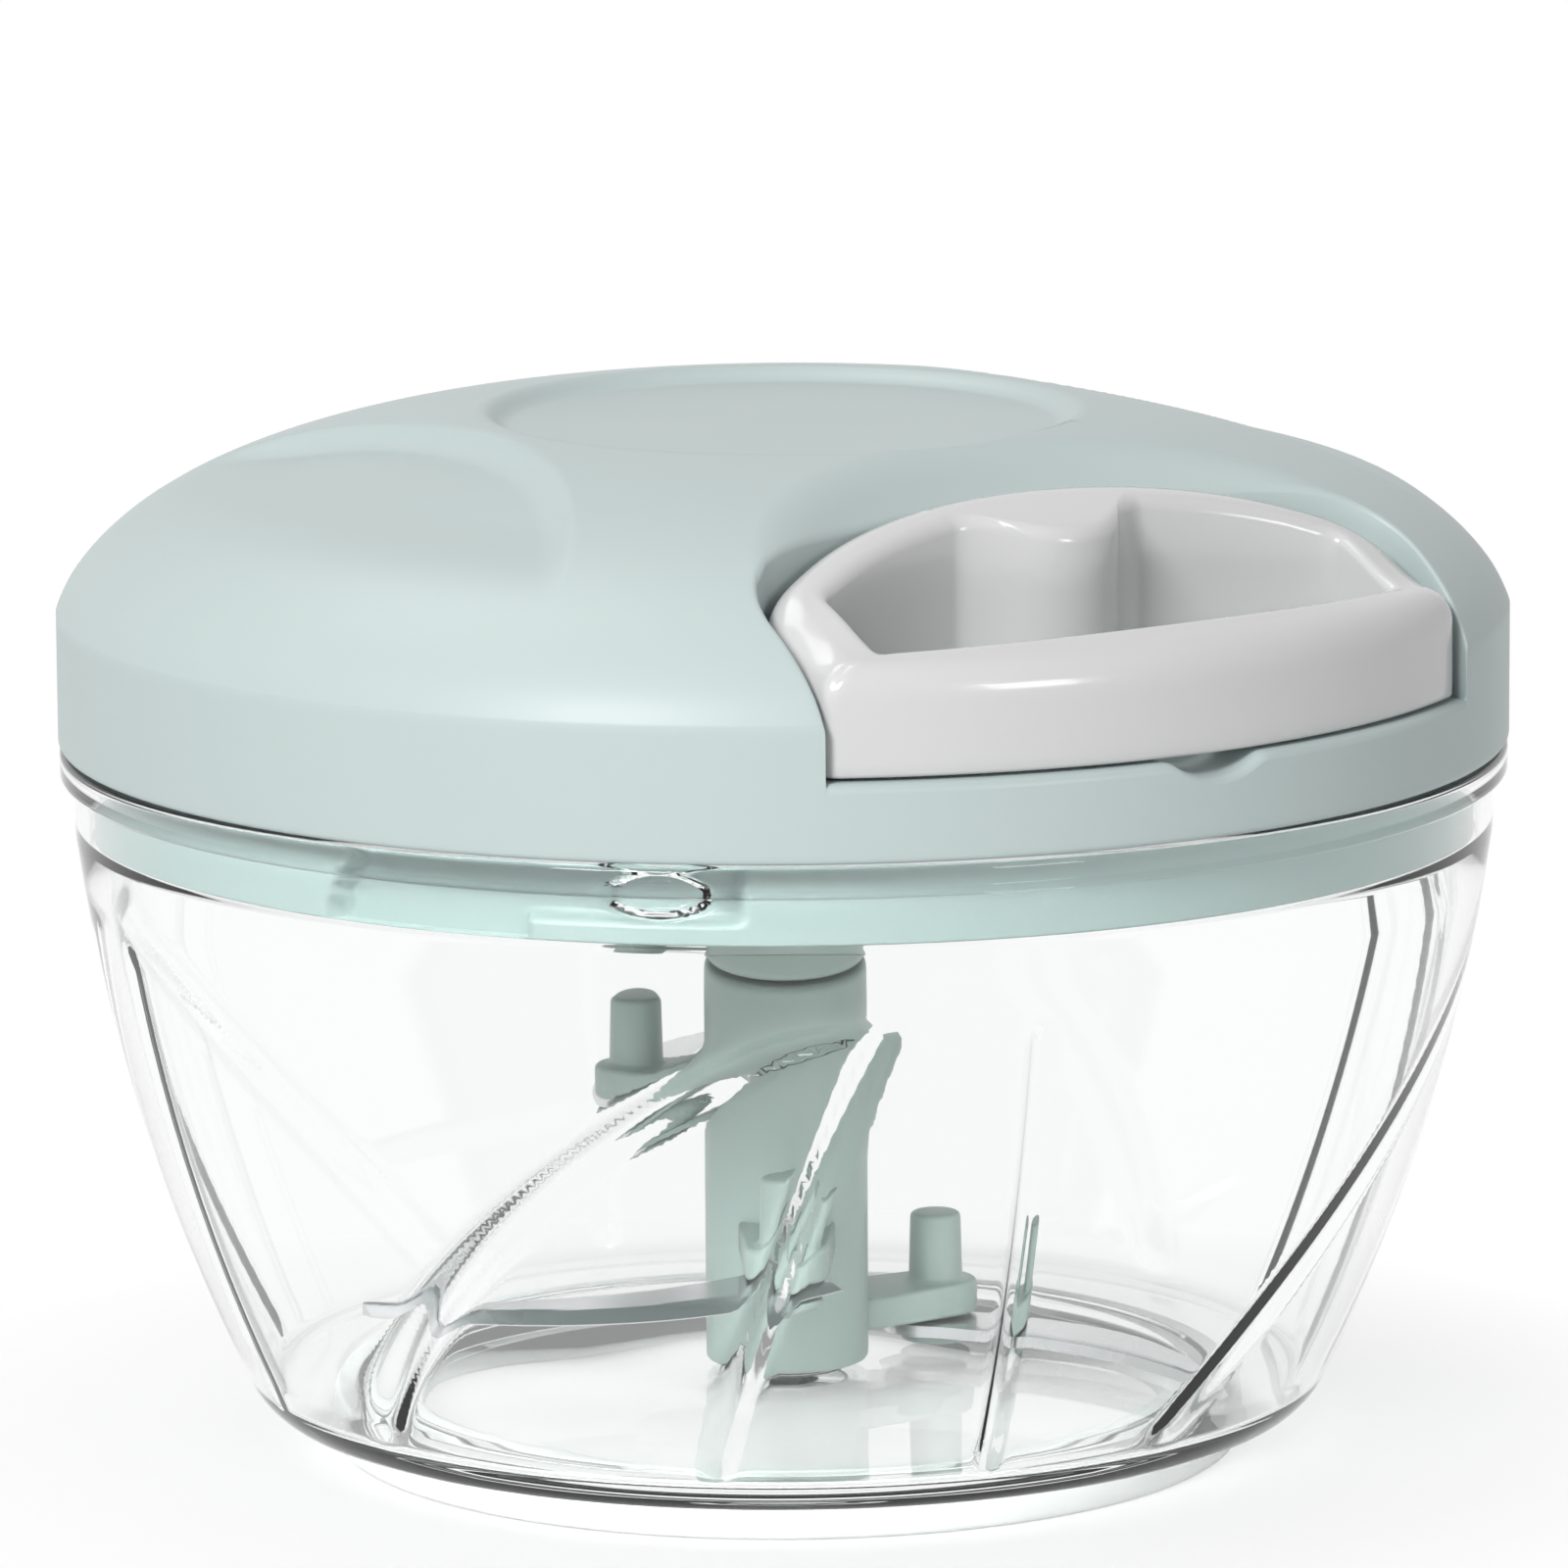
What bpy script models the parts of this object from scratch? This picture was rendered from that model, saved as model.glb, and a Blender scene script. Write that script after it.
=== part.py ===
"""Pull-cord vegetable chopper, built from its separate pieces.

A clear bowl carries a three-armed blade set on a moulded spindle.  The lid
locks on the bowl with a bayonet.  A half-moon handle lies in a bay of the
lid: pulling it unwinds a cord from a drum, the drum turns the square drive
through two pawls, and a flat spiral spring winds the cord back.

Metres, +Z up, origin on the table below the middle of the bowl.  The handle
is pulled towards -Y.
"""

import math

import bmesh
import bpy
from mathutils import Matrix, Vector

MM = 0.001
DEGREE = math.pi / 180.0

# Clearances
REST_GAP = 0.3 * MM
RUNNING_GAP = 0.3 * MM
OVERCUT = 5.0 * MM

# The lid's radius and height, which the rest follows
LID_RADIUS = 65.0 * MM
BOWL_HEIGHT = 64.3 * MM

# Non-slip ring and the bowl's foot
FOOT_INSET = 7.4 * MM
FOOT_WIDTH = 6.5 * MM
FOOT_RIB = 2.0 * MM
FOOT_RIB_DEPTH = 2.2 * MM
BOWL_UNDERSIDE = 4.0 * MM

# Bowl
BOWL_FLOOR = 2.5 * MM
BOWL_WALL_LEAN = 15.2 * MM
BOWL_CORNER_RISE = 1.75 * MM
BOWL_WALL = 2.0 * MM
BOWL_WALL_BULGE = 2.14 * MM
COLLAR_HEIGHT = 7.6 * MM
COLLAR_WALL = 1.8 * MM
LIP_INSET = 0.1 * MM
LIP_OVERHANG = 1.3 * MM
LIP_HEIGHT = 2.7 * MM
THRUST_BOSS_RADIUS = 5.2 * MM
THRUST_BOSS_HEIGHT = 0.4 * MM
SPINDLE_RADIUS = 2.5 * MM
SPINDLE_HEIGHT = 19.7 * MM

# Swirl ribs inside the bowl, four of each kind
RIB_SET_COUNT = 4
RIB_WIDTH = 2.4 * MM
RIB_HEIGHT = 1.0 * MM
RIB_ROOT = 0.8 * MM
RIB_STATION_COUNT = 6
RIB_FOOT_CLEARANCE = 3.0 * MM
RIB_FIRST_ANGLE = -135.0 * DEGREE
SPIRAL_RIB_ANGLE = 19.0 * DEGREE
SPIRAL_RIB_SWEEP = -56.5 * DEGREE
SPIRAL_RIB_EASING = 0.65
SPIRAL_RIB_DROP = 6.0 * MM
LEANING_RIB_SWEEP = -15.0 * DEGREE
LEANING_RIB_DROP = 14.0 * MM
UPRIGHT_RIB_ANGLE = 31.0 * DEGREE
UPRIGHT_RIB_DROP = 7.0 * MM

# Bayonet
LUG_COUNT = 3
LUG_ANGLE = 225.0 * DEGREE
LUG_LENGTH = 9.3 * MM
LUG_THICKNESS = 3.7 * MM
LUG_DEPTH = 2.1 * MM
LUG_BELOW_LIP = 2.9 * MM
LEDGE_THICKNESS = 2.2 * MM
UNLOCK_ANGLE = 17.5 * DEGREE
LUG_END_PLAY = 2.2 * DEGREE
LUG_SIDE_PLAY = 0.35 * MM
ENTRY_FLARE = 6.0 * DEGREE

# Lid cover
LID_WALL = 2.4 * MM
LID_TOP_WALL = 3.2 * MM
LID_SIDE_HEIGHT = 12.2 * MM
DOME_RISE = 18.0 * MM
DOME_OVERRUN = 1.5 * MM
DOME_SPREAD = 2.73
DOME_ROUNDNESS = 2.37
DISH_RADIUS = 26.7 * MM
DISH_DEPTH = 1.3 * MM
DISH_EDGE = 1.5 * MM
SCALLOP_ANGLES = (173.1 * DEGREE, 6.9 * DEGREE)
SCALLOP_RADIUS = 62.0 * MM
SCALLOP_REACH = 28.7 * MM
SCALLOP_DEPTH = 1.8 * MM
SCALLOP_FADE_START = 42.0 * MM
SCALLOP_FADE_END = 57.0 * MM

# Handle bay in the lid
BAY_FLOOR_RISE = 6.9 * MM
BAY_WALL = 2.0 * MM
HANDLE_GAP = 0.7 * MM
BAY_LIP_DROP = 4.3 * MM
BAY_LIP_WIDTH = 5.2 * MM
SCOOP_WIDTH = 9.4 * MM
SCOOP_DEPTH = 1.6 * MM
SCOOP_LENGTH = 8.0 * MM

# Pull handle
HANDLE_SETBACK = 1.0 * MM
HANDLE_HALF_ANGLE = 31.7 * DEGREE
HANDLE_ARC_RADIUS = 62.0 * MM
HANDLE_INNER_REACH = 33.8 * MM
HANDLE_END_FILLET = 7.0 * MM
HANDLE_TOP_DROP = 1.6 * MM
HANDLE_BAND_TOP = 9.9 * MM
HANDLE_BAND_ROUND = 3.1 * MM
HANDLE_BAR = 5.7 * MM
HANDLE_BAND = 5.4 * MM
GRIP_HALF_WIDTH = 27.4 * MM
GRIP_INNER_RADIUS = 67.6 * MM
GRIP_OUTER_RADIUS = 76.9 * MM
KNOT_BOSS_RADIUS = 7.0 * MM
KNOT_BOSS_REACH = 12.2 * MM
KNOT_CAVITY_RADIUS = 3.4 * MM
KNOT_RADIUS = 2.7 * MM
KNOT_SETBACK = 6.0 * MM
PLUG_THICKNESS = 2.6 * MM

# Cord
CORD_DIAMETER = 2.4 * MM
CORD_RISE = 8.0 * MM
CORD_HOLE_GAP = 0.4 * MM
CORD_BEND_COUNT = 8
GUIDE_WALL = 1.2 * MM
GUIDE_FLANGE = 1.2 * MM
GUIDE_FLANGE_THICKNESS = 1.0 * MM

# Lid base
BASE_PLATE = 2.0 * MM
SKIRT_GAP = 0.5 * MM
SKIRT_WALL = 3.7 * MM
SKIRT_DROP = 7.3 * MM
SKIRT_FOOT = 1.0 * MM
SEAL_GROOVE_DEPTH = 1.0 * MM
SEAL_HEIGHT = 1.8 * MM
SEAL_OUTER_GAP = 0.3 * MM
FLANGE_THICKNESS = 2.0 * MM

# Lid screws
LID_SCREW_COUNT = 4
LID_SCREW_FIRST_ANGLE = 45.0 * DEGREE
LID_SCREW_CIRCLE = 50.0 * MM
LID_SCREW_HEAD_RADIUS = 2.9 * MM
LID_SCREW_HEAD_HEIGHT = 1.7 * MM
SCREW_SHANK_RADIUS = 1.2 * MM
LID_SCREW_LENGTH = 13.0 * MM
POST_RADIUS = 3.6 * MM
BASE_BOSS_RADIUS = 4.8 * MM
BASE_BOSS_HEIGHT = 2.0 * MM

# Drive shaft, its bush and seal
SHAFT_RADIUS = 7.35 * MM
SHAFT_END_Z = 42.6 * MM
JOURNAL_RADIUS = 5.5 * MM
DRIVE_SQUARE = 7.6 * MM
DRIVE_LENGTH = 12.0 * MM
BUSH_WALL = 1.55 * MM
BUSH_FLANGE_RADIUS = 10.6 * MM
BUSH_FLANGE_THICKNESS = 0.7 * MM
BUSH_LENGTH = 7.2 * MM
SHAFT_SEAL_HEIGHT = 1.9 * MM
BEARING_WALL = 1.9 * MM
BEARING_LIP = 1.1 * MM

# Power spring and its cup
CUP_CLEARANCE = 3.1 * MM
CUP_WALL = 2.0 * MM
SPRING_HEIGHT = 8.0 * MM
SPRING_STRIP = 0.5 * MM
SPRING_TURN_COUNT = 5
SPRING_POINT_COUNT = 16
SPRING_COVER_THICKNESS = 1.2 * MM
COVER_SCREW_COUNT = 3
COVER_SCREW_FIRST_ANGLE = 90.0 * DEGREE
COVER_SCREW_SETOUT = 2.5 * MM
COVER_SCREW_HEAD_RADIUS = 2.6 * MM
COVER_SCREW_HEAD_HEIGHT = 1.3 * MM
COVER_SCREW_LENGTH = 6.0 * MM
COVER_POST_RADIUS = 3.2 * MM

# Cord drum
ARBOR_RADIUS = 9.0 * MM
DRUM_CORE_RADIUS = 17.0 * MM
DRUM_FLANGE_RADIUS = 23.5 * MM
DRUM_FLANGE_THICKNESS = 1.4 * MM
DRUM_GROOVE_HEIGHT = 5.6 * MM
WINDING_DEPTH = 3.3 * MM
CLUTCH_RECESS_RADIUS = 13.8 * MM
CLUTCH_RECESS_DEPTH = 4.0 * MM

# Clutch
WHEEL_RADIUS = 8.2 * MM
WHEEL_ROOT_RADIUS = 6.6 * MM
WHEEL_TOOTH_COUNT = 10
WHEEL_THICKNESS = 3.0 * MM
WHEEL_FACE_ANGLE = 42.0 * DEGREE
STUB_SQUARE = 7.0 * MM
PAWL_PIVOT_CIRCLE = 11.2 * MM
PAWL_PIN_RADIUS = 0.8 * MM
PAWL_HUB_RADIUS = 1.8 * MM
PAWL_TIP_RADIUS = 0.55 * MM
PAWL_TIP_REACH = 8.2 * MM
PAWL_TIP_ANGLE = 35.0 * DEGREE
PAWL_THICKNESS = 2.8 * MM
CLUTCH_CAP_RADIUS = 13.3 * MM
CLUTCH_CAP_THICKNESS = 1.0 * MM
CLUTCH_SCREW_HEAD_RADIUS = 3.2 * MM
CLUTCH_SCREW_HEAD_HEIGHT = 1.8 * MM
CLUTCH_SCREW_LENGTH = 9.0 * MM

# Blade set
TUBE_RADIUS = 7.35 * MM
SOCKET_SQUARE = 9.0 * MM
SOCKET_DEPTH = 13.0 * MM
HOLDER_FLOOR_GAP = 0.3 * MM
ARM_ANGLES = (-5.0 * DEGREE, 235.0 * DEGREE, 115.0 * DEGREE)
BLADE_HEIGHTS = (8.1 * MM, 16.6 * MM, 28.2 * MM)
ARM_HALF_WIDTH = 3.8 * MM
ARM_THICKNESS = 3.0 * MM
PEG_CIRCLE = 15.7 * MM
PEG_RADIUS = 2.35 * MM
PEG_HEIGHT = 6.2 * MM
STAKE_RADIUS = 1.7 * MM
STAKE_HEAD_RADIUS = 3.2 * MM
STAKE_HEAD_THICKNESS = 0.8 * MM
BLADE_THICKNESS = 1.2 * MM
BLADE_TIP_RADIUS = 43.5 * MM
BLADE_SWEEP = 58.0 * DEGREE
BLADE_ROOT_RADIUS = 5.0 * MM
BLADE_OUTER_BULGE = 8.0 * MM
BLADE_INNER_BULGE = 4.0 * MM
BLADE_TIP_WIDTH = 0.8 * MM
BLADE_ROOT_START = 235.0 * DEGREE
BLADE_ROOT_END = 100.0 * DEGREE

# Facets
BODY_SEGMENT_COUNT = 44
RING_SEGMENT_COUNT = 28
SMALL_SEGMENT_COUNT = 16
PIN_SEGMENT_COUNT = 8

# Places that follow from the sizes above
LIP_RADIUS = LID_RADIUS - LIP_INSET
COLLAR_RADIUS = LIP_RADIUS - LIP_OVERHANG
BOWL_BASE_RADIUS = COLLAR_RADIUS - BOWL_WALL_LEAN
FOOT_RADIUS = BOWL_BASE_RADIUS - FOOT_INSET
FLOOR_TOP = BOWL_UNDERSIDE + BOWL_FLOOR
COLLAR_Z = BOWL_HEIGHT - COLLAR_HEIGHT
COLLAR_INNER = COLLAR_RADIUS - COLLAR_WALL
SKIRT_RADIUS = COLLAR_INNER - SKIRT_GAP
LUG_Z = BOWL_HEIGHT - LUG_BELOW_LIP
LID_EDGE_Z = BOWL_HEIGHT + REST_GAP
LID_SIDE_TOP = LID_EDGE_Z + LID_SIDE_HEIGHT
CROWN_Z = LID_SIDE_TOP + DOME_RISE
BAY_FLOOR_Z = LID_EDGE_Z + BAY_FLOOR_RISE
HANDLE_BOTTOM = BAY_FLOOR_Z + REST_GAP
HANDLE_BAND_Z = HANDLE_BOTTOM + HANDLE_BAND_TOP
HANDLE_REACH = LID_RADIUS - HANDLE_SETBACK
HANDLE_HALF_WIDTH = HANDLE_REACH * math.sin(HANDLE_HALF_ANGLE)
HANDLE_ARC_CENTRE = HANDLE_INNER_REACH + HANDLE_ARC_RADIUS
CORD_Z = BAY_FLOOR_Z + CORD_RISE
CORD_RADIUS = CORD_DIAMETER / 2
CORD_HOLE_RADIUS = CORD_RADIUS + CORD_HOLE_GAP
BAY_REACH = HANDLE_INNER_REACH - HANDLE_GAP
SKIRT_BOTTOM = BOWL_HEIGHT - SKIRT_DROP
SKIRT_INNER = SKIRT_RADIUS - SKIRT_WALL
PLATE_BOTTOM = SKIRT_BOTTOM + SKIRT_FOOT
PLATE_TOP = PLATE_BOTTOM + BASE_PLATE
SEAL_TOP = LID_EDGE_Z + SEAL_HEIGHT
FLANGE_Z = SEAL_TOP + REST_GAP
FLANGE_TOP = FLANGE_Z + FLANGE_THICKNESS
FLANGE_RADIUS = LID_RADIUS - LID_WALL - REST_GAP
SCREW_HOLE_RADIUS = SCREW_SHANK_RADIUS + REST_GAP
BASE_BOSS_TOP = PLATE_TOP + BASE_BOSS_HEIGHT
POST_BOTTOM = BASE_BOSS_TOP + REST_GAP
LID_SCREW_HEAD_Z = SKIRT_BOTTOM + REST_GAP
COUNTERBORE_TOP = LID_SCREW_HEAD_Z + LID_SCREW_HEAD_HEIGHT + REST_GAP
BUSH_BORE = SHAFT_RADIUS + RUNNING_GAP
BUSH_RADIUS = BUSH_BORE + BUSH_WALL
BUSH_BOTTOM = PLATE_TOP - BUSH_LENGTH
BUSH_TOP = PLATE_TOP + REST_GAP + BUSH_FLANGE_THICKNESS
SHAFT_SEAL_TOP = BUSH_BOTTOM - REST_GAP
SHAFT_SEAL_BOTTOM = SHAFT_SEAL_TOP - SHAFT_SEAL_HEIGHT
BEARING_BORE = BUSH_RADIUS + REST_GAP
BEARING_RADIUS = BEARING_BORE + BEARING_WALL
BEARING_BOTTOM = SHAFT_SEAL_BOTTOM - REST_GAP - BEARING_LIP
DRUM_BOTTOM = BUSH_TOP + RUNNING_GAP
DRUM_BORE = JOURNAL_RADIUS + RUNNING_GAP
CUP_RADIUS = BAY_REACH - BAY_WALL - CUP_CLEARANCE
COVER_SCREW_CIRCLE = CUP_RADIUS + COVER_SCREW_SETOUT
SPRING_BOTTOM = PLATE_TOP + BUSH_FLANGE_THICKNESS + 2 * REST_GAP
SPRING_TOP = SPRING_BOTTOM + SPRING_HEIGHT
CUP_TOP = SPRING_TOP + REST_GAP
COVER_BOTTOM = CUP_TOP + REST_GAP
COVER_TOP = COVER_BOTTOM + SPRING_COVER_THICKNESS
GROOVE_BOTTOM = CORD_Z - DRUM_GROOVE_HEIGHT / 2
GROOVE_TOP = CORD_Z + DRUM_GROOVE_HEIGHT / 2
DRUM_FLANGE_Z = GROOVE_BOTTOM - DRUM_FLANGE_THICKNESS
DRUM_TOP = GROOVE_TOP + DRUM_FLANGE_THICKNESS
RECESS_FLOOR = DRUM_TOP - CLUTCH_RECESS_DEPTH
CLUTCH_Z = RECESS_FLOOR + REST_GAP
WHEEL_TOP = CLUTCH_Z + WHEEL_THICKNESS
CAP_Z = WHEEL_TOP + REST_GAP
CAP_TOP = CAP_Z + CLUTCH_CAP_THICKNESS
WINDING_RADIUS = DRUM_CORE_RADIUS + REST_GAP + WINDING_DEPTH
SPINDLE_TOP = FLOOR_TOP + SPINDLE_HEIGHT
HOLDER_BOTTOM = FLOOR_TOP + THRUST_BOSS_HEIGHT + HOLDER_FLOOR_GAP
HOLDER_TOP = SHAFT_END_Z - REST_GAP
DRIVE_BOTTOM = SHAFT_END_Z - DRIVE_LENGTH
DRIVE_LAG = UNLOCK_ANGLE / 2


def material(name, colour, roughness, metallic=0.0, transmission=0.0):
    """Return a Principled material."""
    made = bpy.data.materials.new(name)
    made.use_nodes = True
    shader = made.node_tree.nodes["Principled BSDF"]
    shader.inputs["Base Color"].default_value = (*colour, 1.0)
    shader.inputs["Roughness"].default_value = roughness
    shader.inputs["Metallic"].default_value = metallic
    shader.inputs["Transmission Weight"].default_value = transmission
    made.diffuse_color = (*colour, 1.0)
    return made


def dress(obj, finish):
    """Give an object one material and smooth shading with sharp edges kept."""
    obj.data.materials.clear()
    obj.data.materials.append(finish)
    obj.data.shade_smooth()
    obj.data.set_sharp_from_angle(angle=35.0 * DEGREE)
    return obj


def object_from(name, work):
    """Turn a bmesh into an object with its faces pointing out."""
    bmesh.ops.recalc_face_normals(work, faces=work.faces[:])
    mesh = bpy.data.meshes.new(name)
    work.to_mesh(mesh)
    work.free()
    obj = bpy.data.objects.new(name, mesh)
    bpy.context.scene.collection.objects.link(obj)
    return obj


def turned(name, profile, segments):
    """Spin a profile of (radius, height) points about Z.

    A profile that starts and ends on the axis makes a solid; any other is
    closed into a ring.
    """
    work = bmesh.new()
    points = [work.verts.new((radius, 0.0, height)) for radius, height in profile]
    pairs = list(zip(points, points[1:]))
    if profile[0][0] > 0 or profile[-1][0] > 0:
        pairs.append((points[-1], points[0]))
    edges = [work.edges.new(pair) for pair in pairs]
    bmesh.ops.spin(work, geom=points + edges, cent=(0, 0, 0), axis=(0, 0, 1), dvec=(0, 0, 0),
                   angle=2 * math.pi, steps=segments, use_merge=True)
    bmesh.ops.remove_doubles(work, verts=work.verts[:], dist=0.001 * MM)
    return object_from(name, work)


def prism(name, outline, bottom, top):
    """Extrude a plan outline of (x, y) points between two heights."""
    return lofted(name, [[(x, y, bottom) for x, y in outline], [(x, y, top) for x, y in outline]])


def lofted(name, rings, flat=True):
    """Join rings of equally many 3-D points and cap both ends.

    Where the faces between rings aren't flat they are split into triangles.
    """
    work = bmesh.new()
    loops = [[work.verts.new(point) for point in ring] for ring in rings]
    count = len(loops[0])
    for lower, upper in zip(loops, loops[1:]):
        for i in range(count):
            j = (i + 1) % count
            work.faces.new((lower[i], lower[j], upper[j], upper[i]))
    work.faces.new(loops[0])
    work.faces.new(loops[-1])
    if not flat:
        bmesh.ops.triangulate(work, faces=work.faces[:])
    return object_from(name, work)


def circle(radius, segments, centre=(0.0, 0.0), squash=1.0):
    """Return the (x, y) points of a circle, or of an oval where squash differs from 1."""
    step = 2 * math.pi / segments
    return [(centre[0] + radius * math.cos(i * step), centre[1] + radius * squash * math.sin(i * step))
            for i in range(segments)]


def cylinder(name, radius, bottom, top, segments, centre=(0.0, 0.0)):
    """Make an upright cylinder."""
    return prism(name, circle(radius, segments, centre), bottom, top)


def cylinder_along_y(name, radius, near, far, height, segments):
    """Make a cylinder from y = -near to y = -far at one height above the table."""
    obj = cylinder(name, radius, near, far, segments)
    obj.data.transform(Matrix.Translation((0, 0, height)) @ Matrix.Rotation(math.pi / 2, 4, "X"))
    return obj


def arc(centre, radius, start, end, steps):
    """Return points of an arc, both ends included."""
    return [(centre[0] + radius * math.cos(start + (end - start) * i / steps),
             centre[1] + radius * math.sin(start + (end - start) * i / steps)) for i in range(steps + 1)]


def bulged(start, end, bulge, steps):
    """Return points of the arc from start to end that bulges to the right of the way."""
    chord = Vector(end) - Vector(start)
    half = chord.length / 2
    radius = half * half / (2 * abs(bulge)) + abs(bulge) / 2
    side = Vector((chord.y, -chord.x)).normalized() * math.copysign(1.0, bulge)
    centre = (Vector(start) + Vector(end)) / 2 + side * (abs(bulge) - radius)
    first = math.atan2(start[1] - centre.y, start[0] - centre.x)
    last = math.atan2(end[1] - centre.y, end[0] - centre.x)
    turn = (last - first + math.pi) % (2 * math.pi) - math.pi
    return arc(centre, radius, first, first + turn, steps)


def square(side):
    """Return the corners of a square."""
    half = side / 2
    return [(-half, -half), (half, -half), (half, half), (-half, half)]


def turn(obj, angle):
    """Turn an object's mesh about the chopper's axis."""
    obj.data.transform(Matrix.Rotation(angle, 4, "Z"))
    return obj


def around(count, first):
    """Return equally spaced angles."""
    return [first + i * 2 * math.pi / count for i in range(count)]


def on_circle(radius, angle):
    """Return the plan point at a radius and an angle."""
    return radius * math.cos(angle), radius * math.sin(angle)


def combine(target, other, operation):
    """Apply one Boolean with the EXACT solver and delete the other object."""
    modifier = target.modifiers.new(operation.lower(), "BOOLEAN")
    modifier.operation = operation
    modifier.solver = "EXACT"
    modifier.object = other
    depsgraph = bpy.context.evaluated_depsgraph_get()
    mesh = bpy.data.meshes.new_from_object(target.evaluated_get(depsgraph))
    target.modifiers.clear()
    target.data = mesh
    bpy.data.objects.remove(other)
    return target


def cut(target, *cutters):
    """Take cutters away from a solid."""
    for cutter in cutters:
        combine(target, cutter, "DIFFERENCE")
    return target


def add(target, *others):
    """Unite solids into one body."""
    for other in others:
        combine(target, other, "UNION")
    return target


def dome_height(radius):
    """Return the lid's outer height at a radius: a superellipse from crown to side."""
    reach = LID_RADIUS + DOME_OVERRUN

    def fall(at):
        return 1 - max(0.0, 1 - (at / reach) ** DOME_SPREAD) ** (1 / DOME_ROUNDNESS)

    return CROWN_Z - DOME_RISE * fall(radius) / fall(LID_RADIUS)


def dome_radii(start, end, steps):
    """Return radii between two limits, closer together towards the shoulder."""
    return [start + (end - start) * math.sin(i / steps * math.pi / 2) for i in range(steps + 1)]


def bowl_wall_arc(inset, steps):
    """Return (radius, height) points up the bowl's curved wall, moved in by an inset."""
    points = bulged((BOWL_BASE_RADIUS, BOWL_UNDERSIDE + BOWL_CORNER_RISE), (COLLAR_RADIUS, COLLAR_Z),
                    BOWL_WALL_BULGE, steps)
    moved = []
    for i, (radius, height) in enumerate(points):
        before = points[max(i - 1, 0)]
        after = points[min(i + 1, steps)]
        along = Vector((after[0] - before[0], after[1] - before[1])).normalized()
        moved.append((radius - inset * along.y, height + inset * along.x))
    return moved


def make_foot_ring(finish):
    """Silicone ring with a groove that grips the bowl's foot rib."""
    inner = FOOT_RADIUS - FOOT_WIDTH
    wall = (FOOT_WIDTH - FOOT_RIB) / 2 - REST_GAP
    top = BOWL_UNDERSIDE - REST_GAP
    groove = BOWL_UNDERSIDE - FOOT_RIB_DEPTH - REST_GAP
    profile = [(inner, 0.0), (FOOT_RADIUS, 0.0), (FOOT_RADIUS, top), (FOOT_RADIUS - wall, top),
               (FOOT_RADIUS - wall, groove), (inner + wall, groove), (inner + wall, top), (inner, top)]
    return dress(turned("non_slip_ring", profile, RING_SEGMENT_COUNT), finish)


def swirl_rib(name, top_angle, top_z, sweep, easing):
    """Make one raised rib that runs down the inside of the bowl's wall.

    Its angle goes from top_angle by sweep times the share of the way down to
    the power of easing, so an easing below 1 starts nearly level.
    """
    wall = bowl_wall_arc(BOWL_WALL, 24)
    bottom_z = FLOOR_TOP + RIB_FOOT_CLEARANCE

    def wall_radius(height):
        for low, high in zip(wall, wall[1:]):
            if low[1] <= height <= high[1]:
                share = (height - low[1]) / (high[1] - low[1])
                return low[0] + share * (high[0] - low[0])
        return wall[0][0] if height < wall[0][1] else wall[-1][0]

    path = []
    for i in range(RIB_STATION_COUNT + 1):
        share = i / RIB_STATION_COUNT
        height = top_z + (bottom_z - top_z) * share
        angle = top_angle + sweep * share ** easing
        radius = wall_radius(height)
        path.append(Vector((radius * math.cos(angle), radius * math.sin(angle), height)))
    rings = []
    for i, point in enumerate(path):
        along = (path[min(i + 1, RIB_STATION_COUNT)] - path[max(i - 1, 0)]).normalized()
        inward = Vector((-point.x, -point.y, 0.0)).normalized()
        across = along.cross(inward).normalized() * RIB_WIDTH / 2
        crest = 0.35 if i in (0, RIB_STATION_COUNT) else 1.0
        root = point - inward * RIB_ROOT
        rings.append([root - across, root + across, point + inward * RIB_HEIGHT * crest])
    return lofted(name, rings, flat=False)


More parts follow.
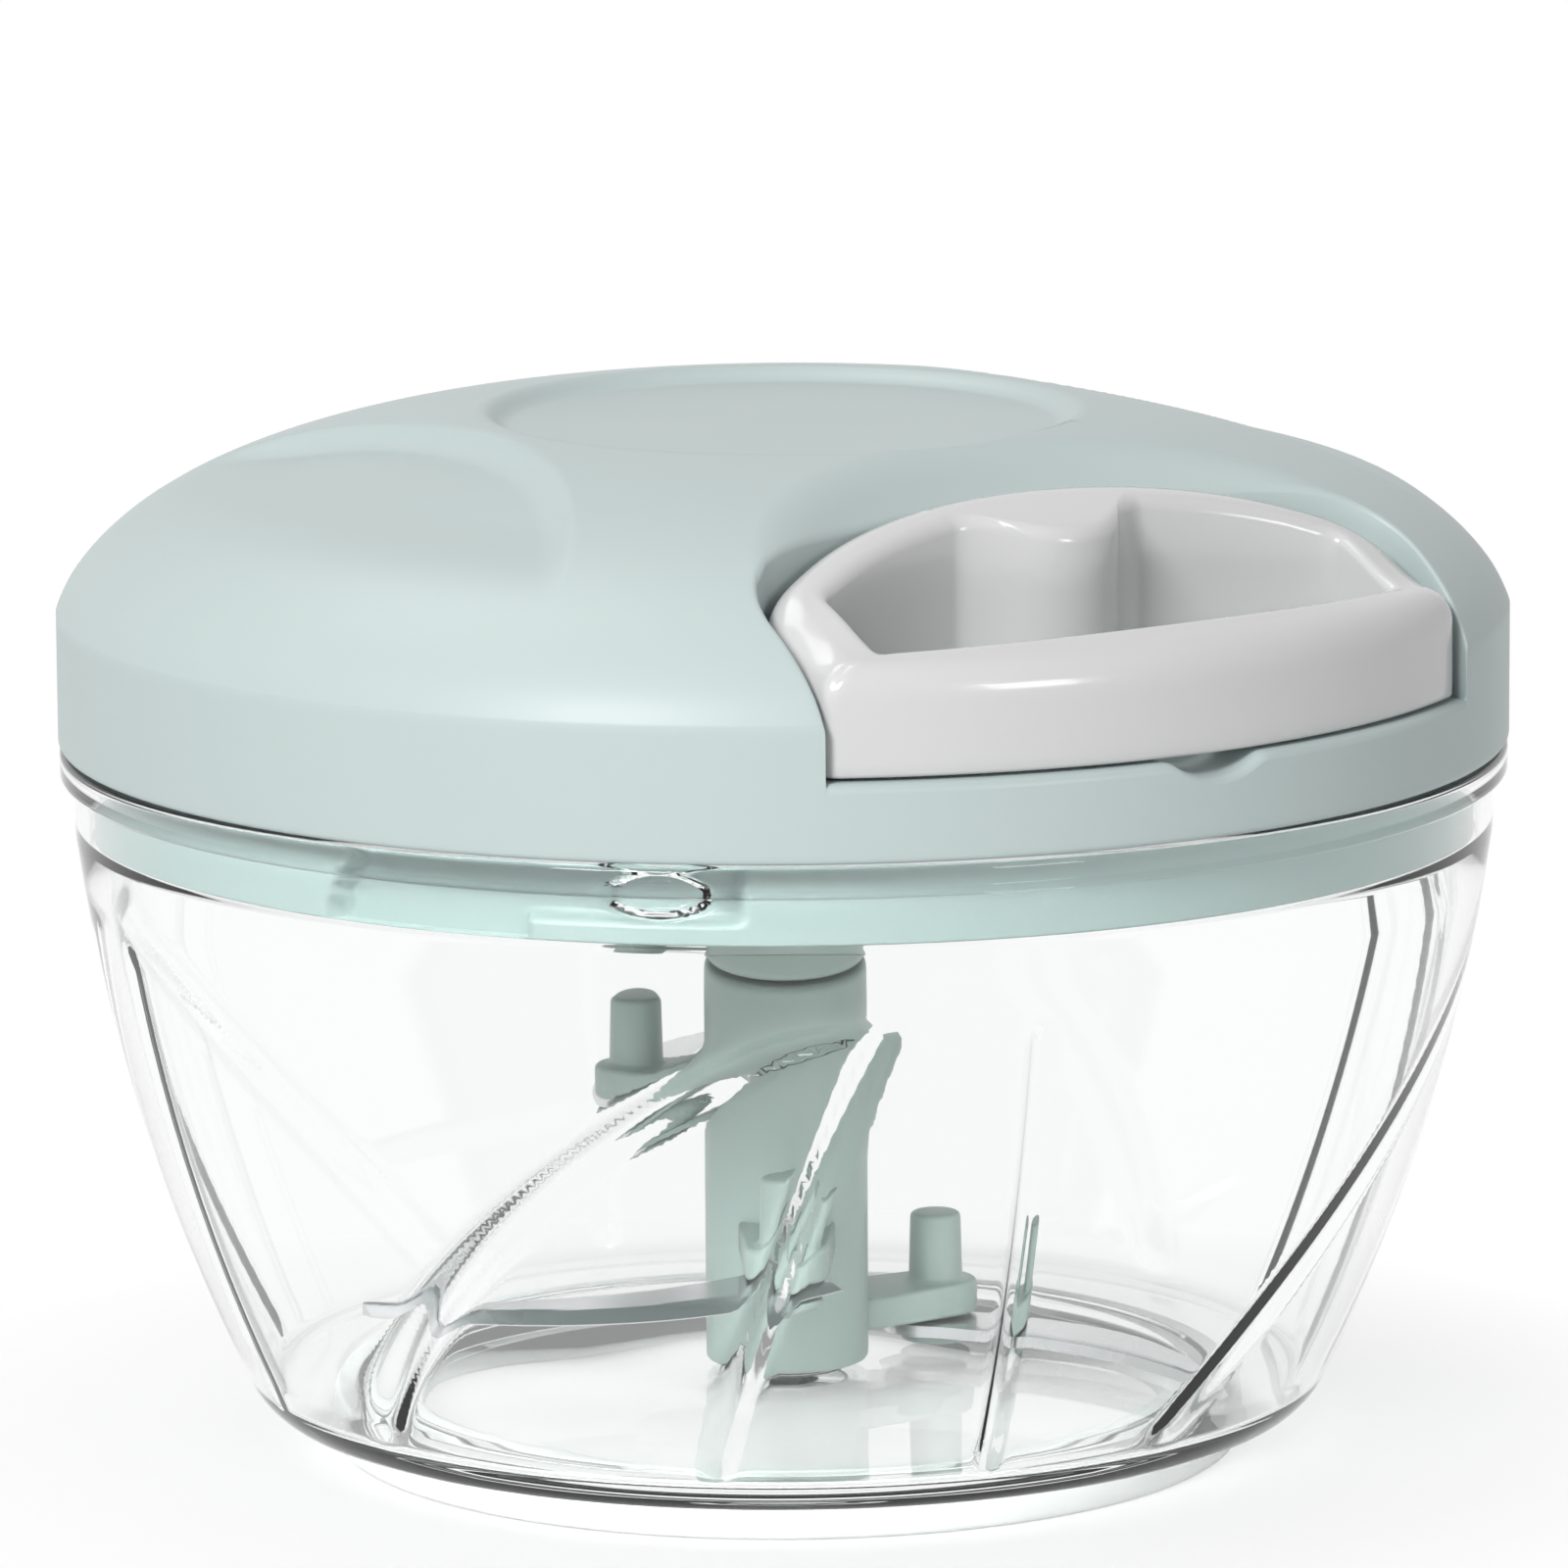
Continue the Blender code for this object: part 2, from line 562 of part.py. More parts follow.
def make_bowl(finish):
    """Clear bowl: foot rib, curved wall, collar with lugs, lip, spindle and ribs."""
    rib_outer = FOOT_RADIUS - (FOOT_WIDTH - FOOT_RIB) / 2
    rib_inner = rib_outer - FOOT_RIB
    rib_bottom = BOWL_UNDERSIDE - FOOT_RIB_DEPTH
    outer = bowl_wall_arc(0.0, 6)
    inner = [point for point in reversed(bowl_wall_arc(BOWL_WALL, 6)) if point[1] > FLOOR_TOP + 2 * MM]
    corner = [(BOWL_BASE_RADIUS - BOWL_CORNER_RISE, BOWL_UNDERSIDE)]
    profile = [(0.0, BOWL_UNDERSIDE), (rib_inner, BOWL_UNDERSIDE), (rib_inner, rib_bottom),
               (rib_outer, rib_bottom), (rib_outer, BOWL_UNDERSIDE)] + corner + outer
    profile += [(COLLAR_RADIUS, BOWL_HEIGHT - LIP_HEIGHT), (LIP_RADIUS, BOWL_HEIGHT - LIP_HEIGHT),
                (LIP_RADIUS, BOWL_HEIGHT), (COLLAR_INNER, BOWL_HEIGHT), (COLLAR_INNER, COLLAR_Z)] + inner
    profile += [(inner[-1][0] - 3 * MM, FLOOR_TOP), (THRUST_BOSS_RADIUS, FLOOR_TOP),
                (THRUST_BOSS_RADIUS, FLOOR_TOP + THRUST_BOSS_HEIGHT),
                (SPINDLE_RADIUS, FLOOR_TOP + THRUST_BOSS_HEIGHT), (SPINDLE_RADIUS, SPINDLE_TOP - MM),
                (SPINDLE_RADIUS - MM, SPINDLE_TOP), (0.0, SPINDLE_TOP)]
    bowl = turned("bowl", profile, BODY_SEGMENT_COUNT)
    for i, angle in enumerate(around(LUG_COUNT, LUG_ANGLE)):
        oval = circle(LUG_LENGTH / 2, SMALL_SEGMENT_COUNT, squash=LUG_THICKNESS / LUG_LENGTH)
        rings = [[(radius, along, LUG_Z + up) for along, up in oval]
                 for radius in (COLLAR_INNER - LUG_DEPTH, COLLAR_INNER + COLLAR_WALL / 2)]
        add(bowl, turn(lofted(f"lug_{i}", rings), angle))
    return dress(bowl, finish)


def add_ribs(bowl):
    """Unite the swirl ribs with the bowl's inner wall."""
    kinds = ((SPIRAL_RIB_ANGLE, COLLAR_Z - SPIRAL_RIB_DROP, SPIRAL_RIB_SWEEP, SPIRAL_RIB_EASING),
             (SPIRAL_RIB_ANGLE, COLLAR_Z - LEANING_RIB_DROP, LEANING_RIB_SWEEP, 1.0),
             (UPRIGHT_RIB_ANGLE, COLLAR_Z - UPRIGHT_RIB_DROP, 0.0, 1.0))
    for quarter in around(RIB_SET_COUNT, RIB_FIRST_ANGLE):
        for kind, (start, top_z, sweep, easing) in enumerate(kinds):
            add(bowl, swirl_rib(f"rib_{kind}", quarter + start, top_z, sweep, easing))


def bay_outline(gap, reach):
    """Return the half-moon plan that the handle fills, grown by a gap, out to a reach.

    An arc faces the lid's middle, a fillet leads to each straight end, and the
    outer side is an arc about the lid's own axis.
    """
    radius = HANDLE_ARC_RADIUS + gap
    half = HANDLE_HALF_WIDTH + gap
    fillet = HANDLE_END_FILLET + gap
    rise = math.sqrt((radius - fillet) ** 2 - (half - fillet) ** 2)
    lean = math.atan2(half - fillet, rise)
    fillet_y = -HANDLE_ARC_CENTRE + rise
    right = arc((half - fillet, fillet_y), fillet, 0.0, math.pi / 2 - lean, 5)
    inner = arc((0.0, -HANDLE_ARC_CENTRE), radius, math.pi / 2 - lean, math.pi / 2 + lean, 11)
    left = [(-x, y) for x, y in reversed(right)]
    end = math.asin(half / reach)
    outer = arc((0.0, 0.0), reach, -math.pi / 2 - end, -math.pi / 2 + end, 12)
    return right + inner[1:-1] + left + outer


def grip_outline():
    """Return the plan of the finger opening in the handle: two arcs between straight ends.

    One arc runs along the handle's inner side and one along its outer band.
    """
    inner_centre = HANDLE_INNER_REACH + HANDLE_BAR + GRIP_INNER_RADIUS
    outer_centre = GRIP_OUTER_RADIUS + HANDLE_BAND - HANDLE_REACH
    inner_lean = math.asin(GRIP_HALF_WIDTH / GRIP_INNER_RADIUS)
    outer_lean = math.asin(GRIP_HALF_WIDTH / GRIP_OUTER_RADIUS)
    inner = arc((0.0, -inner_centre), GRIP_INNER_RADIUS, math.pi / 2 - inner_lean, math.pi / 2 + inner_lean, 10)
    outer = arc((0.0, outer_centre), GRIP_OUTER_RADIUS, -math.pi / 2 - outer_lean, -math.pi / 2 + outer_lean, 10)
    return inner + outer


def scallop_floor(name):
    """Return a solid up to the scallops' floor: below the dome, and rising clear of it further out."""
    floor = LID_EDGE_Z - OVERCUT
    side = LID_RADIUS + OVERCUT
    points = []
    for radius in dome_radii(0.0, LID_RADIUS, 14):
        share = min(max((radius - SCALLOP_FADE_START) / (SCALLOP_FADE_END - SCALLOP_FADE_START), 0.0), 1.0)
        points.append((radius, dome_height(radius) - SCALLOP_DEPTH * (1 - 1.2 * share)))
    profile = points + [(side, points[-1][1] - OVERCUT), (side, floor), (0.0, floor)]
    return turn(turned(name, profile, BODY_SEGMENT_COUNT), math.pi / BODY_SEGMENT_COUNT)


def make_lid_cover(finish):
    """Domed shell with the handle bay, finger scallops, centre dish and screw posts."""
    dish_floor = dome_height(DISH_RADIUS) - DISH_DEPTH
    outer = [(0.0, dish_floor), (DISH_RADIUS - DISH_EDGE, dish_floor),
             (DISH_RADIUS - DISH_EDGE / 2, dish_floor + DISH_DEPTH / 3)]
    outer += [(radius, dome_height(radius)) for radius in dome_radii(DISH_RADIUS, LID_RADIUS, 11)]
    outer += [(LID_RADIUS, LID_EDGE_Z), (0.0, LID_EDGE_Z)]
    cover = turned("lid_cover", outer, BODY_SEGMENT_COUNT)

    inner_radius = LID_RADIUS - LID_WALL
    ceiling = dish_floor - LID_TOP_WALL
    hollow = [(0.0, ceiling)]
    hollow += [(radius, min(ceiling, dome_height(radius * LID_RADIUS / inner_radius) - LID_TOP_WALL))
               for radius in dome_radii(DISH_RADIUS, inner_radius, 8)]
    hollow += [(inner_radius, LID_EDGE_Z - OVERCUT), (0.0, LID_EDGE_Z - OVERCUT)]
    cavity = turned("cavity", hollow, BODY_SEGMENT_COUNT)
    top = CROWN_Z + OVERCUT
    beyond = LID_RADIUS + OVERCUT
    cut(cavity, prism("bay_block", bay_outline(HANDLE_GAP + BAY_WALL, beyond), BAY_FLOOR_Z - BAY_WALL, top))
    for angle in around(LID_SCREW_COUNT, LID_SCREW_FIRST_ANGLE):
        centre = on_circle(LID_SCREW_CIRCLE, angle)
        cut(cavity, cylinder("post", POST_RADIUS, POST_BOTTOM, top, SMALL_SEGMENT_COUNT, centre))
    cut(cover, cavity)

    cut(cover, prism("bay", bay_outline(HANDLE_GAP, beyond), BAY_FLOOR_Z, top))
    lip_foot = dome_height(BAY_REACH) - BAY_LIP_DROP
    flare = BAY_LIP_WIDTH * (top - lip_foot) / BAY_LIP_DROP
    lip = [[(x, y, lip_foot) for x, y in bay_outline(HANDLE_GAP / 2, beyond)],
           [(x, y, top) for x, y in bay_outline(HANDLE_GAP + flare, beyond + flare)]]
    cut(cover, lofted("bay_lip", lip))
    for angle in SCALLOP_ANGLES:
        disc = cylinder("scallop", SCALLOP_RADIUS, LID_EDGE_Z + MM, top, BODY_SEGMENT_COUNT,
                        on_circle(SCALLOP_REACH + SCALLOP_RADIUS, angle))
        cut(disc, scallop_floor("scallop_floor"))
        cut(cover, disc)

    pilot_top = LID_SCREW_HEAD_Z + LID_SCREW_HEAD_HEIGHT + LID_SCREW_LENGTH + MM
    for angle in around(LID_SCREW_COUNT, LID_SCREW_FIRST_ANGLE):
        centre = on_circle(LID_SCREW_CIRCLE, angle)
        cut(cover, cylinder("pilot", SCREW_HOLE_RADIUS, POST_BOTTOM - MM, pilot_top, PIN_SEGMENT_COUNT, centre))
    guide_hole = CORD_HOLE_RADIUS + GUIDE_WALL + REST_GAP
    cut(cover, cylinder_along_y("guide_hole", guide_hole, BAY_REACH - BAY_WALL - MM, BAY_REACH + MM,
                                CORD_Z, SMALL_SEGMENT_COUNT))
    scoop_radius = (SCOOP_WIDTH ** 2 / 4 + SCOOP_DEPTH ** 2) / (2 * SCOOP_DEPTH)
    cut(cover, cylinder_along_y("scoop", scoop_radius, LID_RADIUS - SCOOP_LENGTH, beyond,
                                BAY_FLOOR_Z + scoop_radius - SCOOP_DEPTH, 2 * RING_SEGMENT_COUNT))
    return dress(cover, finish)


def make_cord_guide(finish):
    """Grommet that leads the cord through the bay's wall, flanged on the inside."""
    tube = CORD_HOLE_RADIUS + GUIDE_WALL
    inner_face = BAY_REACH - BAY_WALL - REST_GAP
    profile = [(CORD_HOLE_RADIUS, inner_face - GUIDE_FLANGE_THICKNESS),
               (tube + GUIDE_FLANGE, inner_face - GUIDE_FLANGE_THICKNESS), (tube + GUIDE_FLANGE, inner_face),
               (tube, inner_face), (tube, BAY_REACH), (CORD_HOLE_RADIUS, BAY_REACH)]
    guide = turned("cord_guide", profile, SMALL_SEGMENT_COUNT)
    guide.data.transform(Matrix.Translation((0, 0, CORD_Z)) @ Matrix.Rotation(math.pi / 2, 4, "X"))
    return dress(guide, finish)


def channel(name, right_low, left_low, right_high, left_high, low, high):
    """Make a curved block in the skirt's face, with its own left and right angles at each height."""
    inner = COLLAR_INNER - LUG_DEPTH - REST_GAP
    outer = SKIRT_RADIUS + MM
    steps = 5
    rings = []
    for i in range(steps + 1):
        share = i / steps
        foot = right_low + (left_low - right_low) * share
        head = right_high + (left_high - right_high) * share
        rings.append([(*on_circle(inner, foot), low), (*on_circle(outer, foot), low),
                      (*on_circle(outer, head), high), (*on_circle(inner, head), high)])
    return lofted(name, rings, flat=False)


def make_lid_base(finish):
    """Closing plate: skirt with the bayonet ledges, spring cup, bearing and bosses."""
    groove = SKIRT_RADIUS - SEAL_GROOVE_DEPTH
    lip_radius = SHAFT_RADIUS + 3 * RUNNING_GAP
    profile = [(lip_radius, BEARING_BOTTOM), (BEARING_RADIUS, BEARING_BOTTOM), (BEARING_RADIUS, PLATE_BOTTOM),
               (SKIRT_INNER, PLATE_BOTTOM), (SKIRT_INNER, SKIRT_BOTTOM), (SKIRT_RADIUS, SKIRT_BOTTOM),
               (SKIRT_RADIUS, LID_EDGE_Z), (groove, LID_EDGE_Z), (groove, FLANGE_Z),
               (FLANGE_RADIUS, FLANGE_Z), (FLANGE_RADIUS, FLANGE_TOP),
               (SKIRT_INNER + MM, FLANGE_TOP), (SKIRT_INNER + MM, PLATE_TOP),
               (CUP_RADIUS, PLATE_TOP), (CUP_RADIUS, CUP_TOP), (CUP_RADIUS - CUP_WALL, CUP_TOP),
               (CUP_RADIUS - CUP_WALL, PLATE_TOP), (BEARING_BORE, PLATE_TOP),
               (BEARING_BORE, SHAFT_SEAL_BOTTOM - REST_GAP), (lip_radius, SHAFT_SEAL_BOTTOM - REST_GAP)]
    base = turned("lid_base", profile, BODY_SEGMENT_COUNT)
    for angle in around(LID_SCREW_COUNT, LID_SCREW_FIRST_ANGLE):
        centre = on_circle(LID_SCREW_CIRCLE, angle)
        add(base, cylinder("boss", BASE_BOSS_RADIUS, SKIRT_BOTTOM, BASE_BOSS_TOP, SMALL_SEGMENT_COUNT, centre))
        cut(base, cylinder("screw_hole", SCREW_HOLE_RADIUS, SKIRT_BOTTOM - MM, BASE_BOSS_TOP + MM,
                           PIN_SEGMENT_COUNT, centre),
            cylinder("counterbore", LID_SCREW_HEAD_RADIUS + REST_GAP, SKIRT_BOTTOM - MM, COUNTERBORE_TOP,
                     SMALL_SEGMENT_COUNT, centre))
    for angle in around(COVER_SCREW_COUNT, COVER_SCREW_FIRST_ANGLE):
        centre = on_circle(COVER_SCREW_CIRCLE, angle)
        add(base, cylinder("cover_post", COVER_POST_RADIUS, PLATE_TOP - MM / 2, CUP_TOP - REST_GAP,
                           SMALL_SEGMENT_COUNT, centre))
        cut(base, cylinder("cover_pilot", SCREW_HOLE_RADIUS, COVER_TOP - COVER_SCREW_LENGTH - MM / 2,
                           CUP_TOP + MM, PIN_SEGMENT_COUNT, centre))
    lug_half = LUG_LENGTH / 2 / COLLAR_INNER
    ledge_top = LUG_Z - LUG_THICKNESS / 2 - LUG_SIDE_PLAY
    channel_top = LUG_Z + LUG_THICKNESS / 2 + LUG_SIDE_PLAY
    for angle in around(LUG_COUNT, LUG_ANGLE):
        stop = angle + lug_half + LUG_END_PLAY
        far = angle - UNLOCK_ANGLE - lug_half - LUG_END_PLAY / 2
        ledge_end = angle - UNLOCK_ANGLE + lug_half + LUG_END_PLAY
        cut(base, channel("lug_channel", stop, far, stop, far, ledge_top, channel_top),
            channel("lug_entry", ledge_end, far - ENTRY_FLARE, ledge_end, far + 0.1 * DEGREE,
                    SKIRT_BOTTOM - MM, channel_top - 0.1 * MM))
    return dress(base, finish)


def make_seal_ring(finish):
    """Silicone ring in the lid's groove, lying on the bowl's lip."""
    inner = SKIRT_RADIUS - SEAL_GROOVE_DEPTH + REST_GAP
    outer = LID_RADIUS - LID_WALL - SEAL_OUTER_GAP
    profile = [(inner, LID_EDGE_Z), (outer, LID_EDGE_Z), (outer, SEAL_TOP), (inner, SEAL_TOP)]
    return dress(turned("seal_ring", profile, BODY_SEGMENT_COUNT), finish)


def screw(name, centre, head_radius, head_bottom, head_height, tip_z, finish):
    """Make one pan-head screw; its tip may lie above or below the head."""
    head_top = head_bottom + head_height
    obj = cylinder(name, head_radius, head_bottom, head_top, PIN_SEGMENT_COUNT + 4, centre)
    middle = (head_bottom + head_top) / 2
    low, high = min(middle, tip_z), max(middle, tip_z)
    add(obj, cylinder("shank", SCREW_SHANK_RADIUS, low, high, PIN_SEGMENT_COUNT, centre))
    return dress(obj, finish)


def make_screws(finish):
    """Screws that hold the lid base to the cover, and the spring cover to the base."""
    made = []
    for i, angle in enumerate(around(LID_SCREW_COUNT, LID_SCREW_FIRST_ANGLE)):
        tip = LID_SCREW_HEAD_Z + LID_SCREW_HEAD_HEIGHT + LID_SCREW_LENGTH
        made.append(screw(f"lid_screw_{i + 1}", on_circle(LID_SCREW_CIRCLE, angle), LID_SCREW_HEAD_RADIUS,
                          LID_SCREW_HEAD_Z, LID_SCREW_HEAD_HEIGHT, tip, finish))
    for i, angle in enumerate(around(COVER_SCREW_COUNT, COVER_SCREW_FIRST_ANGLE)):
        made.append(screw(f"spring_cover_screw_{i + 1}", on_circle(COVER_SCREW_CIRCLE, angle),
                          COVER_SCREW_HEAD_RADIUS, COVER_TOP + REST_GAP, COVER_SCREW_HEAD_HEIGHT,
                          COVER_TOP - COVER_SCREW_LENGTH, finish))
    return made


def make_shaft_bush(finish):
    """Flanged bush in the lid base that the drive shaft turns in."""
    profile = [(BUSH_BORE, BUSH_BOTTOM), (BUSH_RADIUS, BUSH_BOTTOM), (BUSH_RADIUS, PLATE_TOP + REST_GAP),
               (BUSH_FLANGE_RADIUS, PLATE_TOP + REST_GAP), (BUSH_FLANGE_RADIUS, BUSH_TOP), (BUSH_BORE, BUSH_TOP)]
    return dress(turned("shaft_bush", profile, RING_SEGMENT_COUNT), finish)


def make_shaft_seal(finish):
    """Lip seal below the bush."""
    profile = [(BUSH_BORE, SHAFT_SEAL_BOTTOM), (BUSH_RADIUS, SHAFT_SEAL_BOTTOM), (BUSH_RADIUS, SHAFT_SEAL_TOP),
               (BUSH_BORE, SHAFT_SEAL_TOP)]
    return dress(turned("shaft_seal", profile, RING_SEGMENT_COUNT), finish)


def make_drive_shaft(finish):
    """Shaft with the square drive below, a round shank, a journal and a square stub on top."""
    shoulder = DRUM_BOTTOM - RUNNING_GAP
    profile = [(0.0, SHAFT_END_Z), (SHAFT_RADIUS, SHAFT_END_Z), (SHAFT_RADIUS, shoulder),
               (JOURNAL_RADIUS, shoulder), (JOURNAL_RADIUS, RECESS_FLOOR), (0.0, RECESS_FLOOR)]
    shaft = turned("drive_shaft", profile, RING_SEGMENT_COUNT)
    drive = turn(prism("square_drive", square(DRIVE_SQUARE), DRIVE_BOTTOM, SHAFT_END_Z + MM), -DRIVE_LAG)
    add(shaft, drive, prism("stub", square(STUB_SQUARE), RECESS_FLOOR - MM, WHEEL_TOP))
    cut(shaft, cylinder("pilot", SCREW_HOLE_RADIUS, WHEEL_TOP - CLUTCH_SCREW_LENGTH, WHEEL_TOP + MM, PIN_SEGMENT_COUNT))
    return dress(shaft, finish)


def make_ratchet_wheel(finish):
    """Saw-toothed wheel on the shaft's square stub."""
    step = 2 * math.pi / WHEEL_TOOTH_COUNT
    outline = []
    for i in range(WHEEL_TOOTH_COUNT):
        face = WHEEL_FACE_ANGLE + i * step
        outline.append(on_circle(WHEEL_ROOT_RADIUS, face))
        outline.append(on_circle(WHEEL_RADIUS, face + 1.0 * DEGREE))
        outline.append(on_circle((WHEEL_RADIUS + WHEEL_ROOT_RADIUS) / 2, face + step / 2))
    wheel = prism("ratchet_wheel", outline, CLUTCH_Z, WHEEL_TOP)
    hole = square(STUB_SQUARE + 2 * REST_GAP)
    return dress(cut(wheel, prism("hole", hole, CLUTCH_Z - MM, WHEEL_TOP + MM)), finish)


def make_pawl(number, angle, finish):
    """Pawl on its pin in the drum; its origin lies on the pin's axis."""
    tip = Vector((PAWL_TIP_REACH * math.cos(PAWL_TIP_ANGLE) - PAWL_PIVOT_CIRCLE,
                  PAWL_TIP_REACH * math.sin(PAWL_TIP_ANGLE)))
    lean = math.atan2(tip.y, tip.x)
    flare = math.acos((PAWL_HUB_RADIUS - PAWL_TIP_RADIUS) / tip.length)
    hub = arc((0.0, 0.0), PAWL_HUB_RADIUS, lean + flare, lean - flare + 2 * math.pi, 12)
    point = arc(tip, PAWL_TIP_RADIUS, lean - flare, lean + flare, 5)
    pawl = prism(f"pawl_{number}", hub + point, CLUTCH_Z, CLUTCH_Z + PAWL_THICKNESS)
    cut(pawl, cylinder("pin_hole", PAWL_PIN_RADIUS + RUNNING_GAP, CLUTCH_Z - MM, CLUTCH_Z + PAWL_THICKNESS + MM,
                       PIN_SEGMENT_COUNT))
    pawl.rotation_euler.z = angle
    pawl.location = (*on_circle(PAWL_PIVOT_CIRCLE, angle), 0.0)
    return dress(pawl, finish)


def make_clutch_cap(finish):
    """Disc that keeps the pawls in the drum, held on the shaft by the clutch screw."""
    profile = [(SCREW_HOLE_RADIUS, CAP_Z), (CLUTCH_CAP_RADIUS, CAP_Z), (CLUTCH_CAP_RADIUS, CAP_TOP),
               (SCREW_HOLE_RADIUS, CAP_TOP)]
    return dress(turned("clutch_cap", profile, RING_SEGMENT_COUNT), finish)


def make_cord_drum(finish):
    """Drum: arbor for the spring below, cord groove between flanges, clutch recess on top."""
    profile = [(DRUM_BORE, DRUM_BOTTOM), (ARBOR_RADIUS, DRUM_BOTTOM), (ARBOR_RADIUS, DRUM_FLANGE_Z),
               (DRUM_FLANGE_RADIUS, DRUM_FLANGE_Z), (DRUM_FLANGE_RADIUS, GROOVE_BOTTOM),
               (DRUM_CORE_RADIUS, GROOVE_BOTTOM), (DRUM_CORE_RADIUS, GROOVE_TOP),
               (DRUM_FLANGE_RADIUS, GROOVE_TOP), (DRUM_FLANGE_RADIUS, DRUM_TOP),
               (CLUTCH_RECESS_RADIUS, DRUM_TOP), (CLUTCH_RECESS_RADIUS, RECESS_FLOOR), (DRUM_BORE, RECESS_FLOOR)]
    drum = turned("cord_drum", profile, RING_SEGMENT_COUNT)
    for angle in (0.0, math.pi):
        centre = on_circle(PAWL_PIVOT_CIRCLE, angle)
        add(drum, cylinder("pawl_pin", PAWL_PIN_RADIUS, RECESS_FLOOR - MM, CLUTCH_Z + PAWL_THICKNESS,
                           PIN_SEGMENT_COUNT, centre))
    return dress(drum, finish)


def make_wound_cord(finish):
    """The cord's turns on the drum, as one ring."""
    inner = DRUM_CORE_RADIUS + REST_GAP
    low = GROOVE_BOTTOM + REST_GAP
    high = GROOVE_TOP - REST_GAP
    profile = [(inner, low), (WINDING_RADIUS, low), (WINDING_RADIUS, high), (inner, high)]
    return dress(turned("wound_cord", profile, RING_SEGMENT_COUNT), finish)


def make_power_spring(finish):
    """Flat spiral strip between the drum's arbor and the spring cup."""
    inner = ARBOR_RADIUS + REST_GAP + SPRING_STRIP / 2
    outer = CUP_RADIUS - CUP_WALL - REST_GAP - SPRING_STRIP / 2
    count = SPRING_TURN_COUNT * SPRING_POINT_COUNT
    rings = []
    for i in range(count + 1):
        angle = 2 * math.pi * i / SPRING_POINT_COUNT
        radius = inner + (outer - inner) * i / count
        near = on_circle(radius - SPRING_STRIP / 2, angle)
        far = on_circle(radius + SPRING_STRIP / 2, angle)
        rings.append([(*near, SPRING_BOTTOM), (*far, SPRING_BOTTOM), (*far, SPRING_TOP), (*near, SPRING_TOP)])
    return dress(lofted("power_spring", rings), finish)


def make_spring_cover(finish):
    """Plate that closes the spring cup, with an ear for each screw."""
    near = math.acos((COVER_SCREW_CIRCLE ** 2 + CUP_RADIUS ** 2 - COVER_POST_RADIUS ** 2)
                     / (2 * COVER_SCREW_CIRCLE * CUP_RADIUS))
    spacing = 2 * math.pi / COVER_SCREW_COUNT
    half = math.pi - math.asin(CUP_RADIUS * math.sin(near) / COVER_POST_RADIUS)
    if CUP_RADIUS * math.cos(near) > COVER_SCREW_CIRCLE:
        half = math.pi - half
    outline = []
    for angle in around(COVER_SCREW_COUNT, COVER_SCREW_FIRST_ANGLE):
        centre = on_circle(COVER_SCREW_CIRCLE, angle)
        outline += arc(centre, COVER_POST_RADIUS, angle - half, angle + half, 8)
        outline += arc((0.0, 0.0), CUP_RADIUS, angle + near, angle + spacing - near, 8)[1:-1]
    cover = prism("spring_cover", outline, COVER_BOTTOM, COVER_TOP)
    cut(cover, cylinder("centre_hole", ARBOR_RADIUS + 2 * RUNNING_GAP, COVER_BOTTOM - MM, COVER_TOP + MM,
                        RING_SEGMENT_COUNT))
    for angle in around(COVER_SCREW_COUNT, COVER_SCREW_FIRST_ANGLE):
        cut(cover, cylinder("ear_hole", SCREW_HOLE_RADIUS, COVER_BOTTOM - MM, COVER_TOP + MM, PIN_SEGMENT_COUNT,
                            on_circle(COVER_SCREW_CIRCLE, angle)))
    return dress(cover, finish)


def make_pull_handle(finish):
    """Half-moon handle with a finger opening and a boss that hides the cord's knot."""
    above = CROWN_Z + OVERCUT
    handle = prism("pull_handle", bay_outline(0.0, HANDLE_REACH), HANDLE_BOTTOM, above)
    start = HANDLE_REACH - HANDLE_BAND_ROUND
    slope = [(radius, max(dome_height(radius) - HANDLE_TOP_DROP, HANDLE_BAND_Z))
             for radius in dome_radii(HANDLE_INNER_REACH - OVERCUT, start, 12)]
    edge = arc((start, HANDLE_BAND_Z - HANDLE_BAND_ROUND), HANDLE_BAND_ROUND, math.pi / 2, 0.0, 5)
    cap = [(0.0, slope[0][1])] + slope + edge[1:]
    cap += [(HANDLE_REACH + 0.1 * MM, HANDLE_BOTTOM - MM), (0.0, HANDLE_BOTTOM - MM)]
    combine(handle, turned("handle_top", cap, BODY_SEGMENT_COUNT), "INTERSECT")
    opening = prism("grip", grip_outline(), HANDLE_BOTTOM - MM, above)
    boss_y = -(HANDLE_INNER_REACH + KNOT_BOSS_REACH - KNOT_BOSS_RADIUS)
    cut(opening, cylinder("knot_boss", KNOT_BOSS_RADIUS, HANDLE_BOTTOM - 2 * MM, above + MM, SMALL_SEGMENT_COUNT,
                          (0.0, boss_y)))
    knot_y = -(HANDLE_INNER_REACH + KNOT_SETBACK)
    cavity_y = knot_y - (KNOT_CAVITY_RADIUS - KNOT_RADIUS - REST_GAP)
    cut(handle, opening,
        cylinder("knot_cavity", KNOT_CAVITY_RADIUS, HANDLE_BOTTOM - MM, CORD_Z + KNOT_RADIUS + MM,
                 SMALL_SEGMENT_COUNT, (0.0, cavity_y)),
        cylinder_along_y("cord_hole", CORD_HOLE_RADIUS, HANDLE_INNER_REACH - MM, -cavity_y, CORD_Z, PIN_SEGMENT_COUNT))
    return dress(handle, finish)


